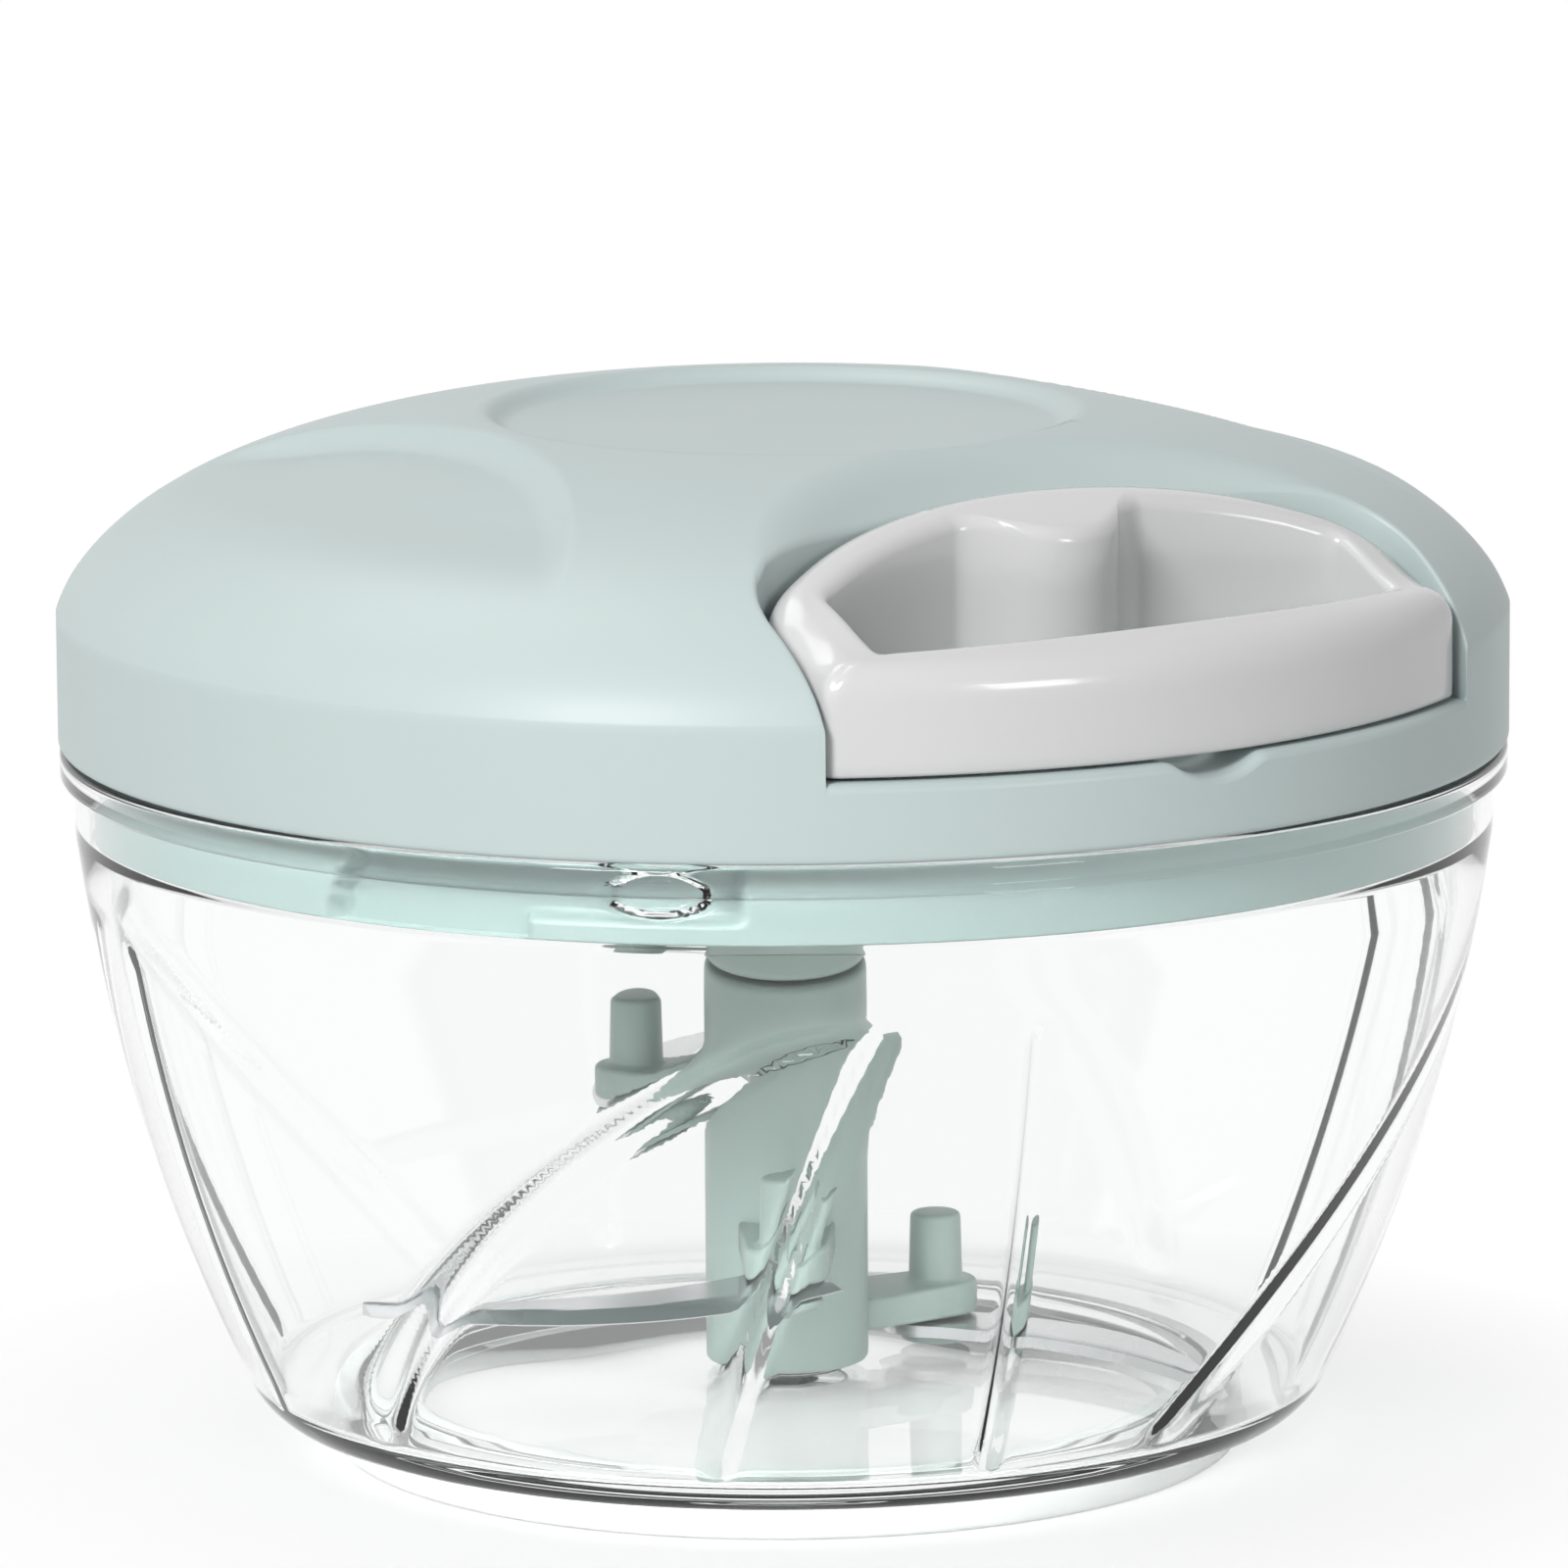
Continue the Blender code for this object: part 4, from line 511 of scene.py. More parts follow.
@dataclass(frozen=True)
class ClearFinish(Finish):
    """Clear moulded plastic that lamps shine through."""

    ior: float = 1.40
    shadow_tint: Tuple[float, float, float, float] = (0.93, 0.95, 0.945, 1.0)

    def material(self) -> bpy.types.Material:
        """Return the material: glass for sight and mirror rays, see-through for lamp rays.

        Returns:
            The material.
        """
        made, graph, shader = new_material(self.name)
        wave = graph.add("TexNoise", {"Vector": graph.add("TexCoord")["Object"], "Scale": self.scale,
                                      "Detail": 1.0})["Fac"]
        bump = graph.add("Bump", {"Strength": self.bump, "Distance": self.depth, "Height": wave})
        rough = graph.add("Math", {0: wave, 1: self.shade, 2: self.roughness}, operation="MULTIPLY_ADD")[0]
        graph.feed(shader, {
            "Base Color": (*self.colour, 1.0), "Metallic": 0.0, "Transmission Weight": 1.0,
            "IOR": self.ior, "Normal": bump["Normal"], "Roughness": rough})
        see_through = graph.add("BsdfTransparent", {"Color": self.shadow_tint})[0]
        mix = graph.add("MixShader", {"Fac": graph.add("LightPath")["Is Shadow Ray"], 1: shader.outputs[0],
                                      2: see_through})
        graph.feed(made.node_tree.nodes["Material Output"], {"Surface": mix[0]})
        return made


@dataclass(frozen=True)
class CordFinish(Finish):
    """Braided cord, its strands laid out on the piece's own place."""

    sheen: float = 0.3
    gap_shade_share: float = 0.62

    def material(self) -> bpy.types.Material:
        """Return the material: small rounded cells for strands, with painted shade darker in the gaps between
        them, made once.

        Returns:
            The material.
        """
        found = bpy.data.materials.get(self.name)
        if found:
            return found
        made, graph, shader = new_material(self.name)
        plait = graph.add("TexVoronoi", {"Vector": graph.add("TexCoord")["Object"],
                                         "Scale": self.scale})["Distance"]
        ramp = graph.add("ValToRGB", {"Fac": plait})["Color"]
        stops = ramp.node.color_ramp.elements
        stops[0].color = (*self.colour, 1.0)
        # painted shade: the gaps between strands take a darker share of the cord's colour
        stops[1].color = (*(self.gap_shade_share * part for part in self.colour), 1.0)
        bump = graph.add("Bump", {"Strength": self.bump, "Distance": self.depth, "Height": plait},
                         invert=True)
        graph.feed(shader, {"Base Color": ramp, "Roughness": self.roughness, "Sheen Weight": self.sheen,
                            "Normal": bump["Normal"]})
        return made


MINT = Finish("mint_plastic_satin", (0.500, 0.585, 0.575), 0.42, scale=1400.0, bump=0.12, depth=0.00001,
              shade=0.02, specular=0.42)
# painted shade: the cover's mint made darker for the closing plate, which is seen through the clear bowl
SHADED_MINT = replace(MINT, name="base_plastic_painted_shade", colour=(0.300, 0.385, 0.370))
HOLDER = Finish("holder_plastic_satin", (0.345, 0.430, 0.400), 0.38, scale=1100.0, bump=0.10, shade=0.03,
                specular=0.45)
GREY = Finish("handle_plastic_gloss", (0.640, 0.640, 0.640), 0.20, scale=300.0, bump=0.03, depth=0.00003,
              shade=0.02, coat=0.35, coat_roughness=0.06)
SILICONE = Finish("silicone_milky", (0.84, 0.845, 0.84), 0.5, scale=700.0, bump=0.2, subsurface=0.25,
                  shade=0.03)
BLADE = Finish("blade_steel_brushed", (0.70, 0.70, 0.71), 0.26, metallic=1.0, scale=260.0, bump=0.25,
               depth=0.00001, stretch=(1.0, 9.0, 1.0), anisotropic=0.4, shade=0.06)
SPRING = Finish("spring_steel_blued", (0.24, 0.25, 0.29), 0.30, metallic=1.0, scale=500.0,
                stretch=(1.0, 1.0, 12.0))
SCREW = Finish("screw_steel_plated", (0.62, 0.62, 0.60), 0.28, metallic=1.0, scale=800.0, bump=0.2)
ACETAL = Finish("acetal_white", (0.80, 0.80, 0.78), 0.35, scale=600.0, bump=0.1, subsurface=0.1)
CLEAR = ClearFinish("clear_plastic_moulded", (0.985, 0.992, 0.99), 0.01, scale=28.0, bump=0.04, depth=0.002,
                    shade=0.01)
CORD = CordFinish("cord_braided", (0.8, 0.8, 0.77), 0.75, scale=1400.0, bump=0.5, depth=0.0002)


@dataclass(frozen=True)
class Rib:
    """One kind of raised rib inside the bowl: where it starts, how it sweeps and how big it is."""

    start: float
    top: float
    sweep: float
    easing: float
    width: float
    height: float


@dataclass
class Bowl:
    """Clear bowl with its non-slip ring."""

    underside: float = 4.0
    floor_top: float = 6.5
    wall_start: float = 2.4
    floor_reach: float = 0.9
    floor_fillet: float = 3.0
    floor_run: float = 8.0
    floor_middle: float = 20.0
    base_radius: float = 48.4
    corner_rise: float = 1.75
    bulge: float = 2.14
    wall: float = 2.0
    collar_radius: float = 63.6
    collar_z: float = 56.7
    lip_radius: float = 64.9
    lip_bottom: float = 61.6
    height: float = 64.3
    foot_rib: Tuple[float, float] = (36.75, 38.75)
    foot_rib_bottom: float = 1.8
    spindle_foot: float = 5.2
    spindle_step: float = 0.4
    spindle_radius: float = 2.5
    spindle_top: float = 26.2
    first_rib: float = -135.0 * DEGREE
    rib_foot: float = 7.8
    ribs: Tuple[Rib, ...] = (Rib(19.0 * DEGREE, 50.7, -56.5 * DEGREE, 0.65, 4.7, 0.70),
                             Rib(18.5 * DEGREE, 50.2, -16.0 * DEGREE, 0.9, 3.6, 0.6),
                             Rib(31.0 * DEGREE, 49.7, 0.0, 1.0, 3.0, 0.7))
    lug_z: float = 61.4
    lug_half_height: float = 1.85
    lug_depth: float = 2.1
    columns: int = 512
    outer_rows: int = 14
    inner_rows: int = 84
    collar_rows: int = 20
    ring_outer: float = 41.0
    ring_width: float = 6.5
    ring_top: float = 3.7
    ring_wall: float = 1.95
    ring_floor: float = 2.5
    tread_depth: float = 0.35

    def wall_curve(self, inset: float, steps: int) -> Array:
        """Return the wall's line from base to collar, moved in by an inset.

        It is the chord bulged outwards, and the inset goes along the curve's own normal.

        Args:
            inset: distance inwards from the outer face.
            steps: number of parts.

        Returns:
            Rows of (radius, height).
        """
        share = np.linspace(0.0, 1.0, steps + 1)[:, None]
        low = np.array([self.base_radius, self.underside + self.corner_rise])
        high = np.array([self.collar_radius, self.collar_z])
        along = high - low
        normal = np.array([along[1], -along[0]]) / np.linalg.norm(along)
        slope = along + normal * 4 * self.bulge * (1 - 2 * share)
        slope = slope / np.linalg.norm(slope, axis=1, keepdims=True)
        inward = np.column_stack([-slope[:, 1], slope[:, 0]])
        return bulged_line(low, high, -self.bulge, share) + inset * inward

    def rib_relief(self, radius: Array, height: Array, angle: Array) -> Array:
        """Return how far the ribs stand in from the wall.

        A rib's angle at a share s of the way down is start + sweep s^easing. Across it, the
        relief is its height times cos^2(pi d / 2w) within half a width w of that line.

        Args:
            radius: wall radius.
            height: wall height.
            angle: angle round the bowl.

        Returns:
            The relief, never below 0.
        """
        relief = np.zeros_like(radius)
        for rib in self.ribs:
            drop = rib.top - self.rib_foot
            share = np.clip((rib.top - height) / drop, 0.004, 1.0)
            steep = rib.sweep * rib.easing * share ** (rib.easing - 1.0) / drop * radius
            lean = 1.0 / np.sqrt(1.0 + steep ** 2)
            ends = smooth_step(height, self.rib_foot - 1.5, self.rib_foot + 2)
            ends = ends * (1.0 - smooth_step(height, rib.top - 2.4, rib.top + 0.2))
            line = rib.start + rib.sweep * share ** rib.easing
            for quarter in range(4):
                gap = angle_gap(angle, self.first_rib + quarter * QUARTER + line)
                across = np.minimum(np.abs(gap) * radius * lean / (rib.width / 2), 1.0)
                relief = np.maximum(relief, rib.height * ends * np.cos(across * QUARTER) ** 2)
        return relief

    def lug_relief(self, height: Array, angle: Array) -> Array:
        """Return how far the oval lugs stand in from the collar: full depth inside 0.84 of the oval.

        Args:
            height: height on the collar.
            angle: angle round the collar.

        Returns:
            The relief, never below 0.
        """
        relief = np.zeros_like(height)
        for lug in LUG_ANGLES:
            along = angle_gap(angle, lug) * COLLAR_INNER / LUG_HALF_LENGTH
            oval = np.hypot(along, (height - self.lug_z) / self.lug_half_height)
            relief = np.maximum(relief, self.lug_depth * (1.0 - smooth_step(oval, 0.84, 1.03)))
        return relief

    def build(self) -> Object:
        """Make the bowl as one turned section whose inner face carries ribs and lugs.

        Returns:
            The bowl.
        """
        outer = self.wall_curve(0.0, self.outer_rows)
        inner = self.wall_curve(self.wall, self.inner_rows)[::-1]
        inner = inner[inner[:, 1] > self.floor_top + self.wall_start]
        rib_inner, rib_outer = self.foot_rib
        low, base, step = self.foot_rib_bottom, self.underside, self.floor_top + self.spindle_step
        under = rounded_profile([
            (0.0, base, 0.0), (rib_inner, base, 0.3), (rib_inner, low, 0.3), (rib_outer, low, 0.3),
            (rib_outer, base, 0.3), (self.base_radius - self.corner_rise, base, 1.0),
            (*outer[0], 1.0), (*outer[1], 0.0)], 3, closed=False)
        lip = rounded_profile([
            (outer[-1, 0], outer[-1, 1] - 0.2, 0.0), (self.collar_radius, self.lip_bottom, 0.35),
            (self.lip_radius, self.lip_bottom, 0.5), (self.lip_radius, self.height, 0.6),
            (COLLAR_INNER, self.height, 0.4), (COLLAR_INNER, self.height - 1.0, 0.0)], 4, closed=False)
        collar_z = np.linspace(self.height - 1.1, self.collar_z + 0.5, self.collar_rows)
        collar = np.column_stack([np.full(self.collar_rows, COLLAR_INNER), collar_z])
        foot = rounded_profile([
            (*inner[-1], 0.0), (inner[-1, 0] - self.floor_reach, self.floor_top, self.floor_fillet),
            (inner[-1, 0] - self.floor_run, self.floor_top, 0.0)], 6, closed=False)
        middle = rounded_profile([
            (self.floor_middle, self.floor_top, 0.0), (self.spindle_foot, self.floor_top, 0.4),
            (self.spindle_foot, step, 0.15), (self.spindle_radius, step, 0.3),
            (self.spindle_radius, self.spindle_top, 1.0), (0.0, self.spindle_top, 0.0)], 4, closed=False)
        profile = np.vstack([under, outer[2:], lip[1:], collar, inner, foot[1:], middle])
        rows = np.arange(len(profile))[:, None]
        first = len(under) + len(outer) - 2 + len(lip) - 1
        wall = first + len(collar)
        is_collar = (rows >= first) & (rows < wall)
        is_wall = (rows >= wall) & (rows < wall + len(inner) + 3)

        def shift(radius: Array, height: Array, angle: Array) -> Tuple[Array, Array]:
            """Move the inner face in by the ribs' and lugs' relief."""
            ribs = self.rib_relief(radius, height, angle) * is_wall
            return radius - ribs - self.lug_relief(height, angle) * is_collar, height

        piece = revolve("clear_bowl", profile, Slot.CLEAR, self.columns, shift=shift)
        CLEAR.dress(piece)
        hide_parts("bowl")
        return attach(piece, "bowl")

    def build_ring(self) -> Object:
        """Make the non-slip ring: a rounded section with two shallow grooves in its tread.

        Returns:
            The ring.
        """
        outer, inner = self.ring_outer, self.ring_outer - self.ring_width
        top, roof = self.ring_top, self.underside - self.ring_floor
        tread = [(inner + 1.6, 0.0), (inner + 2.0, self.tread_depth), (inner + 2.5, 0.0),
                 (outer - 2.5, 0.0), (outer - 2.0, self.tread_depth), (outer - 1.6, 0.0)]
        channel = [(outer - self.ring_wall, top), (outer - self.ring_wall, roof),
                   (inner + self.ring_wall, roof), (inner + self.ring_wall, top)]
        section = [(inner, 0.0, 0.6), *((*point, 0.2) for point in tread), (outer, 0.0, 0.7),
                   (outer, top, 0.5), *((*point, 0.2) for point in channel), (inner, top, 0.5)]
        piece = revolve("foot_ring", rounded_profile(section, 4), Slot.SILICONE, 192)
        SILICONE.dress(piece)
        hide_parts("non_slip_ring")
        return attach(piece, "bowl")

    def build_seal(self) -> Object:
        """Make the lid's seal: a rounded ring with a thin wiping lip on its lower face.

        Returns:
            The seal.
        """
        low, top = 64.6, 66.35
        section = [(60.62, low, 0.4), (61.4, low + 0.02, 0.2), (62.2, low, 0.35), (62.25, top, 0.5),
                   (60.65, top, 0.5)]
        piece = revolve("lid_seal", rounded_profile(section, 4), Slot.SILICONE, 192)
        SILICONE.dress(piece)
        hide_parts("seal_ring")
        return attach(piece, "seal")


@dataclass
class LidBase:
    """Closing plate with the bayonet skirt, its screws and the drive shaft."""

    skirt_radius: float = 61.3
    skirt_inner: float = 57.6
    skirt_bottom: float = 57.0
    plate_bottom: float = 58.0
    plate_top: float = 60.0
    edge_z: float = 64.6
    face_low: float = 57.35
    face_high: float = 64.25
    face_rows: int = 20
    channel_radius: float = 59.4
    channel_low: float = 59.2
    channel_high: float = 63.6
    lug_half: float = LUG_HALF_LENGTH / COLLAR_INNER
    unlock: float = 17.5 * DEGREE
    play: float = 2.2 * DEGREE
    flare: float = 6.0 * DEGREE
    soft: float = 0.25
    bore: float = 8.3
    hub_radius: float = 11.4
    hub_inner: float = 9.6
    hub_bottom: float = 49.2
    hub_floor: float = 50.3
    wall_inner: float = 58.6
    wall_outer: float = 62.3
    wall_top: float = 68.7
    seal_inner: float = 60.3
    seal_roof: float = 66.7
    boss_inner: float = 3.2
    boss_outer: float = 4.8
    boss_roof: float = 58.4
    head_radius: float = 2.9
    head_face: float = 57.3
    head_back: float = 58.9
    screw_circle: float = 50.0
    screw_angles: Tuple[float, ...] = tuple((45.0 + 90.0 * number) * DEGREE for number in range(4))
    columns: int = 576

    def channel_mask(self, height: Array, angle: Array) -> Array:
        """Return 1 inside the lug channels and 0 outside, soft at their edges.

        Each channel is a level slot, plus an entry from below whose outer side curves in as a
        quarter ellipse: its angle is far - flare (1 - s^2)^0.5 at a share s of the height.

        Args:
            height: height on the skirt.
            angle: angle round the skirt.

        Returns:
            The mask.
        """
        soft, turn = self.soft, self.soft / self.skirt_radius
        mask = np.zeros_like(height)
        roof = 1.0 - smooth_step(height, self.channel_high - soft, self.channel_high + soft)
        floor = smooth_step(height, self.channel_low - soft, self.channel_low + soft)
        share = (height - self.skirt_bottom) / (self.channel_high - self.skirt_bottom)
        far = -self.unlock - self.lug_half - self.play / 2
        side = far - self.flare * root(1.0 - np.clip(share, 0.0, 1.0) ** 2)

        def between(gap: Array, low: Array, high: float) -> Array:
            """Return 1 between two angles and 0 beyond them."""
            above = smooth_step(gap, low - turn, low + turn)
            return above * (1.0 - smooth_step(gap, high - turn, high + turn))

        for lug in LUG_ANGLES:
            gap = angle_gap(angle, lug)
            slot = between(gap, far, self.lug_half + self.play) * floor
            entry = between(gap, side, -self.unlock + self.lug_half + self.play)
            mask = np.maximum(mask, np.maximum(slot, entry) * roof)
        return mask

    def build(self) -> Object:
        """Make the base: one turned section with the channels pressed into the skirt, and four bosses.

        Returns:
            The closing plate.
        """
        radius, inner = self.skirt_radius, self.skirt_inner
        face_z = np.linspace(self.face_low, self.face_high, self.face_rows)
        face = np.column_stack([np.full(self.face_rows, radius), face_z])
        lower = rounded_profile([
            (self.bore, self.hub_bottom, 0.3), (self.hub_radius, self.hub_bottom, 0.5),
            (self.hub_radius, self.plate_bottom, 1.2), (inner, self.plate_bottom, 0.8),
            (inner, self.skirt_bottom, 0.3), (radius, self.skirt_bottom, 0.3),
            (radius, self.face_low + 0.35, 0.0)], 4, closed=False)
        lower = spread(lower[:-1], 4.0)
        upper = rounded_profile([
            (radius, self.face_high - 0.05, 0.0), (radius, self.edge_z, 0.25),
            (self.seal_inner, self.edge_z, 0.1),
            (self.seal_inner, self.seal_roof, 0.1), (self.wall_outer, self.seal_roof, 0.1),
            (self.wall_outer, self.wall_top, 0.2), (self.wall_inner, self.wall_top, 0.2),
            (self.wall_inner, self.plate_top, 0.2), (self.hub_inner, self.plate_top, 0.1),
            (self.hub_inner, self.hub_floor, 0.1), (self.bore, self.hub_floor, 0.1)], 2, closed=False)[1:]
        profile = np.vstack([lower, face, upper])
        rows = np.arange(len(profile))[:, None]
        is_face = (rows >= len(lower) - 2) & (rows < len(lower) + len(face))

        def shift(radius: Array, height: Array, angle: Array) -> Tuple[Array, Array]:
            """Press the channels into the skirt's face and through its foot."""
            mask = self.channel_mask(height, angle) * is_face
            return radius - mask * (self.skirt_radius - self.channel_radius), height

        parts = [revolve("base_plate", profile, Slot.MINT, self.columns, shift=shift)]
        ring = rounded_profile([
            (self.boss_inner, self.skirt_bottom, 0.25), (self.boss_outer, self.skirt_bottom, 0.4),
            (self.boss_outer, self.boss_roof, 0.1), (self.boss_inner, self.boss_roof, 0.1)], 3)
        for angle in self.screw_angles:
            place = self.screw_circle * np.array([math.cos(angle), math.sin(angle), 0.0])
            boss = revolve("boss", ring, Slot.MINT, 48)
            parts.append(move_points(boss, lambda points, place=place: points + place))
        piece = joined("closing_plate", parts)
        # the plate takes the darker copy of the mint, painted shade
        SHADED_MINT.dress(piece)
        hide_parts("lid_base")
        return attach(piece, "lid")

    def screw_head(self, name: str, centre: Array) -> Object:
        """Make a pan head with a cross recess.

        The face is a disc whose height falls off as (r/R)^4 at its rim, with a cross pressed
        in where |x| or |y| is under a fifth of the radius and the other under 0.6 of it.

        Args:
            name: the piece's name.
            centre: x and y of the screw's axis.

        Returns:
            The closed head.
        """
        rings, columns, rim_fall, recess = 22, 72, 0.28, 0.75
        radius, face, back = self.head_radius, self.head_face, self.head_back
        share = np.sqrt(np.linspace(0.0, 1.0, rings))[:, None]
        x, y = share * np.cos(wheel(columns)), share * np.sin(wheel(columns))

        def bar(across: Array, along: Array) -> Array:
            """Return 1 inside one bar of the cross and 0 outside it."""
            beside, past = smooth_step(np.abs(across), 0.14, 0.24), smooth_step(np.abs(along), 0.55, 0.65)
            return (1 - beside) * (1 - past)

        cross = np.maximum(bar(x, y), bar(y, x))
        height = face + (back - face) * (rim_fall * share ** 4 + recess * cross)
        top = np.dstack([x * radius, y * radius, height])
        low = np.dstack([x[-1:] * radius, y[-1:] * radius, np.full((1, columns), back)])
        points = np.vstack([top.reshape(-1, 3), low.reshape(-1, 3), [[0.0, 0.0, back]]])
        faces = grid_faces(rings + 1, columns, closed_columns=True).tolist()
        last = rings * columns
        faces += [[last + i, last + (i + 1) % columns, len(points) - 1] for i in range(columns)]
        points[:, :2] += centre
        return make_object(name, points, faces, Slot.SCREW, merge=MERGE)

    def build_screws(self) -> List[Object]:
        """Make the four lid screws, seen from below in their counterbores.

        Returns:
            The four heads.
        """
        made = []
        for number, angle in enumerate(self.screw_angles, 1):
            centre = np.array([math.cos(angle), math.sin(angle)]) * self.screw_circle
            piece = self.screw_head(f"lid_screw_head_{number}", centre)
            SCREW.dress(piece)
            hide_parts(f"lid_screw_{number}")
            made.append(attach(piece, "lid"))
        return made

    def build_shaft(self) -> Object:
        """Make the drive shaft: round shank with a groove line, and the square drive below.

        Returns:
            The shaft.
        """
        low, wide, narrow, shoulder, top = 42.6, 7.35, 5.5, 61.0, 79.7
        groove, groove_low, groove_high = 7.2, 44.1, 44.8
        drive_side, drive_low, stub_side, stub_top = 7.6, 30.6, 7.0, 83.0
        shank = rounded_profile([
            (0.0, low, 0.0), (wide, low, 0.5), (wide, groove_low, 0.15), (groove, groove_low + 0.2, 0.1),
            (groove, groove_high - 0.2, 0.1), (wide, groove_high, 0.15), (wide, shoulder, 0.3),
            (narrow, shoulder, 0.2), (narrow, top, 0.3), (0.0, top, 0.0)], 4, closed=False)
        square = flat_solid("square", rounded_square(drive_side, 0.8), drive_low, low + 0.8, Slot.HOLDER, 0.6)
        move_points(square, lambda points: turn_points(points, -self.unlock / 2))
        stub = flat_solid("stub", rounded_square(stub_side, 0.3), top - 0.7, stub_top, Slot.HOLDER, 0.2)
        parts = [revolve("shank", shank, Slot.HOLDER, 96, closed=False), square, stub]
        piece = joined("drive_shaft_moulded", parts)
        HOLDER.dress(piece)
        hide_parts("drive_shaft")
        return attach(piece, "drive")


def rounded_square(side: float, corner: float) -> Array:
    """Return a square's outline with rounded corners, counterclockwise.

    Args:
        side: the square's side.
        corner: its corners' radius.

    Returns:
        Rows of (x, y).
    """
    half = side / 2
    return rounded_profile([(half, -half, corner), (half, half, corner), (-half, half, corner),
                            (-half, -half, corner)], 6)


@dataclass
class BladeSet:
    """Holder with three arms, each with a peg and a stake, and its three crescent blades."""

    tube_radius: float = 7.35
    bottom: float = 7.2
    top: float = 42.3
    spindle_bore: float = 2.8
    spindle_roof: float = 26.8
    socket: float = 9.0
    socket_drawn: float = 5.0
    socket_depth: float = 13.0
    angles: Tuple[float, ...] = (-5.0 * DEGREE, 235.0 * DEGREE, 115.0 * DEGREE)
    heights: Tuple[float, ...] = (8.1, 16.6, 28.2)
    nodes: Tuple[str, ...] = ("blade_lower", "blade_middle", "blade_upper")
    arm_half: float = 3.8
    arm_thickness: float = 3.0
    blade_gap: float = 0.3
    arm_root: Tuple[float, float] = (4.5, 4.4)
    peg_circle: float = 15.7
    peg_radius: float = 2.45
    peg_tip_radius: float = 2.3
    peg_height: float = 6.2
    collar_radius: float = 3.0
    stake_radius: float = 1.7
    stake_head: float = 3.2
    thickness: float = 1.2
    root_radius: float = 5.0
    tip_radius: float = 43.5
    tip_half: float = 0.8
    sweep: float = 58.0 * DEGREE
    grind: float = 1.6
    rows: int = 64

    def build_tube(self) -> Object:
        """Make the tube; its socket's radius is a soft square's, half / (|cos a|^7 + |sin a|^7)^(1/7).

        Returns:
            The tube.
        """
        floor, power = self.top - self.socket_depth, 7.0
        profile = rounded_profile([
            (0.0, self.spindle_roof, 0.0), (self.spindle_bore, self.spindle_roof, 0.2),
            (self.spindle_bore, self.bottom, 0.3), (self.tube_radius, self.bottom, 0.6),
            (self.tube_radius, self.top, 0.5), (self.socket_drawn, self.top, 0.3),
            (self.socket_drawn, floor, 0.2), (0.0, floor, 0.0)], 4, closed=False)
        late = np.arange(len(profile)) > len(profile) // 2
        inside = (profile[:, 0] < self.socket_drawn + 0.4) & (profile[:, 1] > floor - 0.1) & late

        def shift(radius: Array, height: Array, angle: Array) -> Tuple[Array, Array]:
            """Draw the socket's rows out to a square with softened corners.

            Args:
                radius: the section's radii.
                height: its heights.
                angle: its columns' angles.

            Returns:
                The new radii and heights.
            """
            bend = np.abs(np.cos(angle)) ** power + np.abs(np.sin(angle)) ** power
            square = self.socket / 2 / bend ** (1 / power)
            return np.where(inside[:, None], radius / self.socket_drawn * square, radius), height

        return revolve("tube", profile, Slot.HOLDER, 120, shift=shift, closed=False)

    def build_arm(self, number: int) -> List[Object]:
        """Make one arm with its peg above, and its stake and stake head below.

        Args:
            number: which arm, from 0.

        Returns:
            The arm's parts.
        """
        low = self.heights[number] + self.thickness + self.blade_gap
        high = low + self.arm_thickness
        bend = np.linspace(-QUARTER, QUARTER, 25)
        end = np.column_stack([self.peg_circle + self.arm_half * np.cos(bend), self.arm_half * np.sin(bend)])
        root_x, root_y = self.arm_root
        root_end = np.array([[root_x, root_y], [root_x, -root_y]])
        parts = [flat_solid("arm", np.vstack([end, root_end]), low, high, Slot.HOLDER, 0.45)]
        head, tip = self.heights[number] - self.blade_gap, high + self.peg_height
        sunk, foot = high - 0.6, head - 0.8
        peg = [(0.0, sunk, 0.0), (self.collar_radius, sunk, 0.1), (self.collar_radius, high, 0.1),
               (self.peg_radius, high + 0.2, 0.4), (self.peg_tip_radius, tip, 0.6), (0.0, tip, 0.0)]
        stake = [(0.0, foot, 0.0), (self.stake_head, foot, 0.5), (self.stake_head, head, 0.15),
                 (self.stake_radius, head, 0.1), (self.stake_radius, low + 0.5, 0.1), (0.0, low + 0.5, 0.0)]
        for name, corners in (("peg", peg), ("stake", stake)):
            part = revolve(name, rounded_profile(corners, 4, closed=False), Slot.HOLDER, 48, closed=False)
            parts.append(move_points(part, lambda points: points + np.array([self.peg_circle, 0.0, 0.0])))
        for part in parts:
            move_points(part, lambda points: turn_points(points, self.angles[number]))
        return parts

    def build_holder(self) -> Object:
        """Join tube and arms into the holder.

        Returns:
            The holder.
        """
        parts = [self.build_tube()]
        for number in range(len(self.angles)):
            parts += self.build_arm(number)
        piece = joined("blade_hub", parts)
        HOLDER.dress(piece)
        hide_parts("blade_holder")
        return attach(piece, "blades")

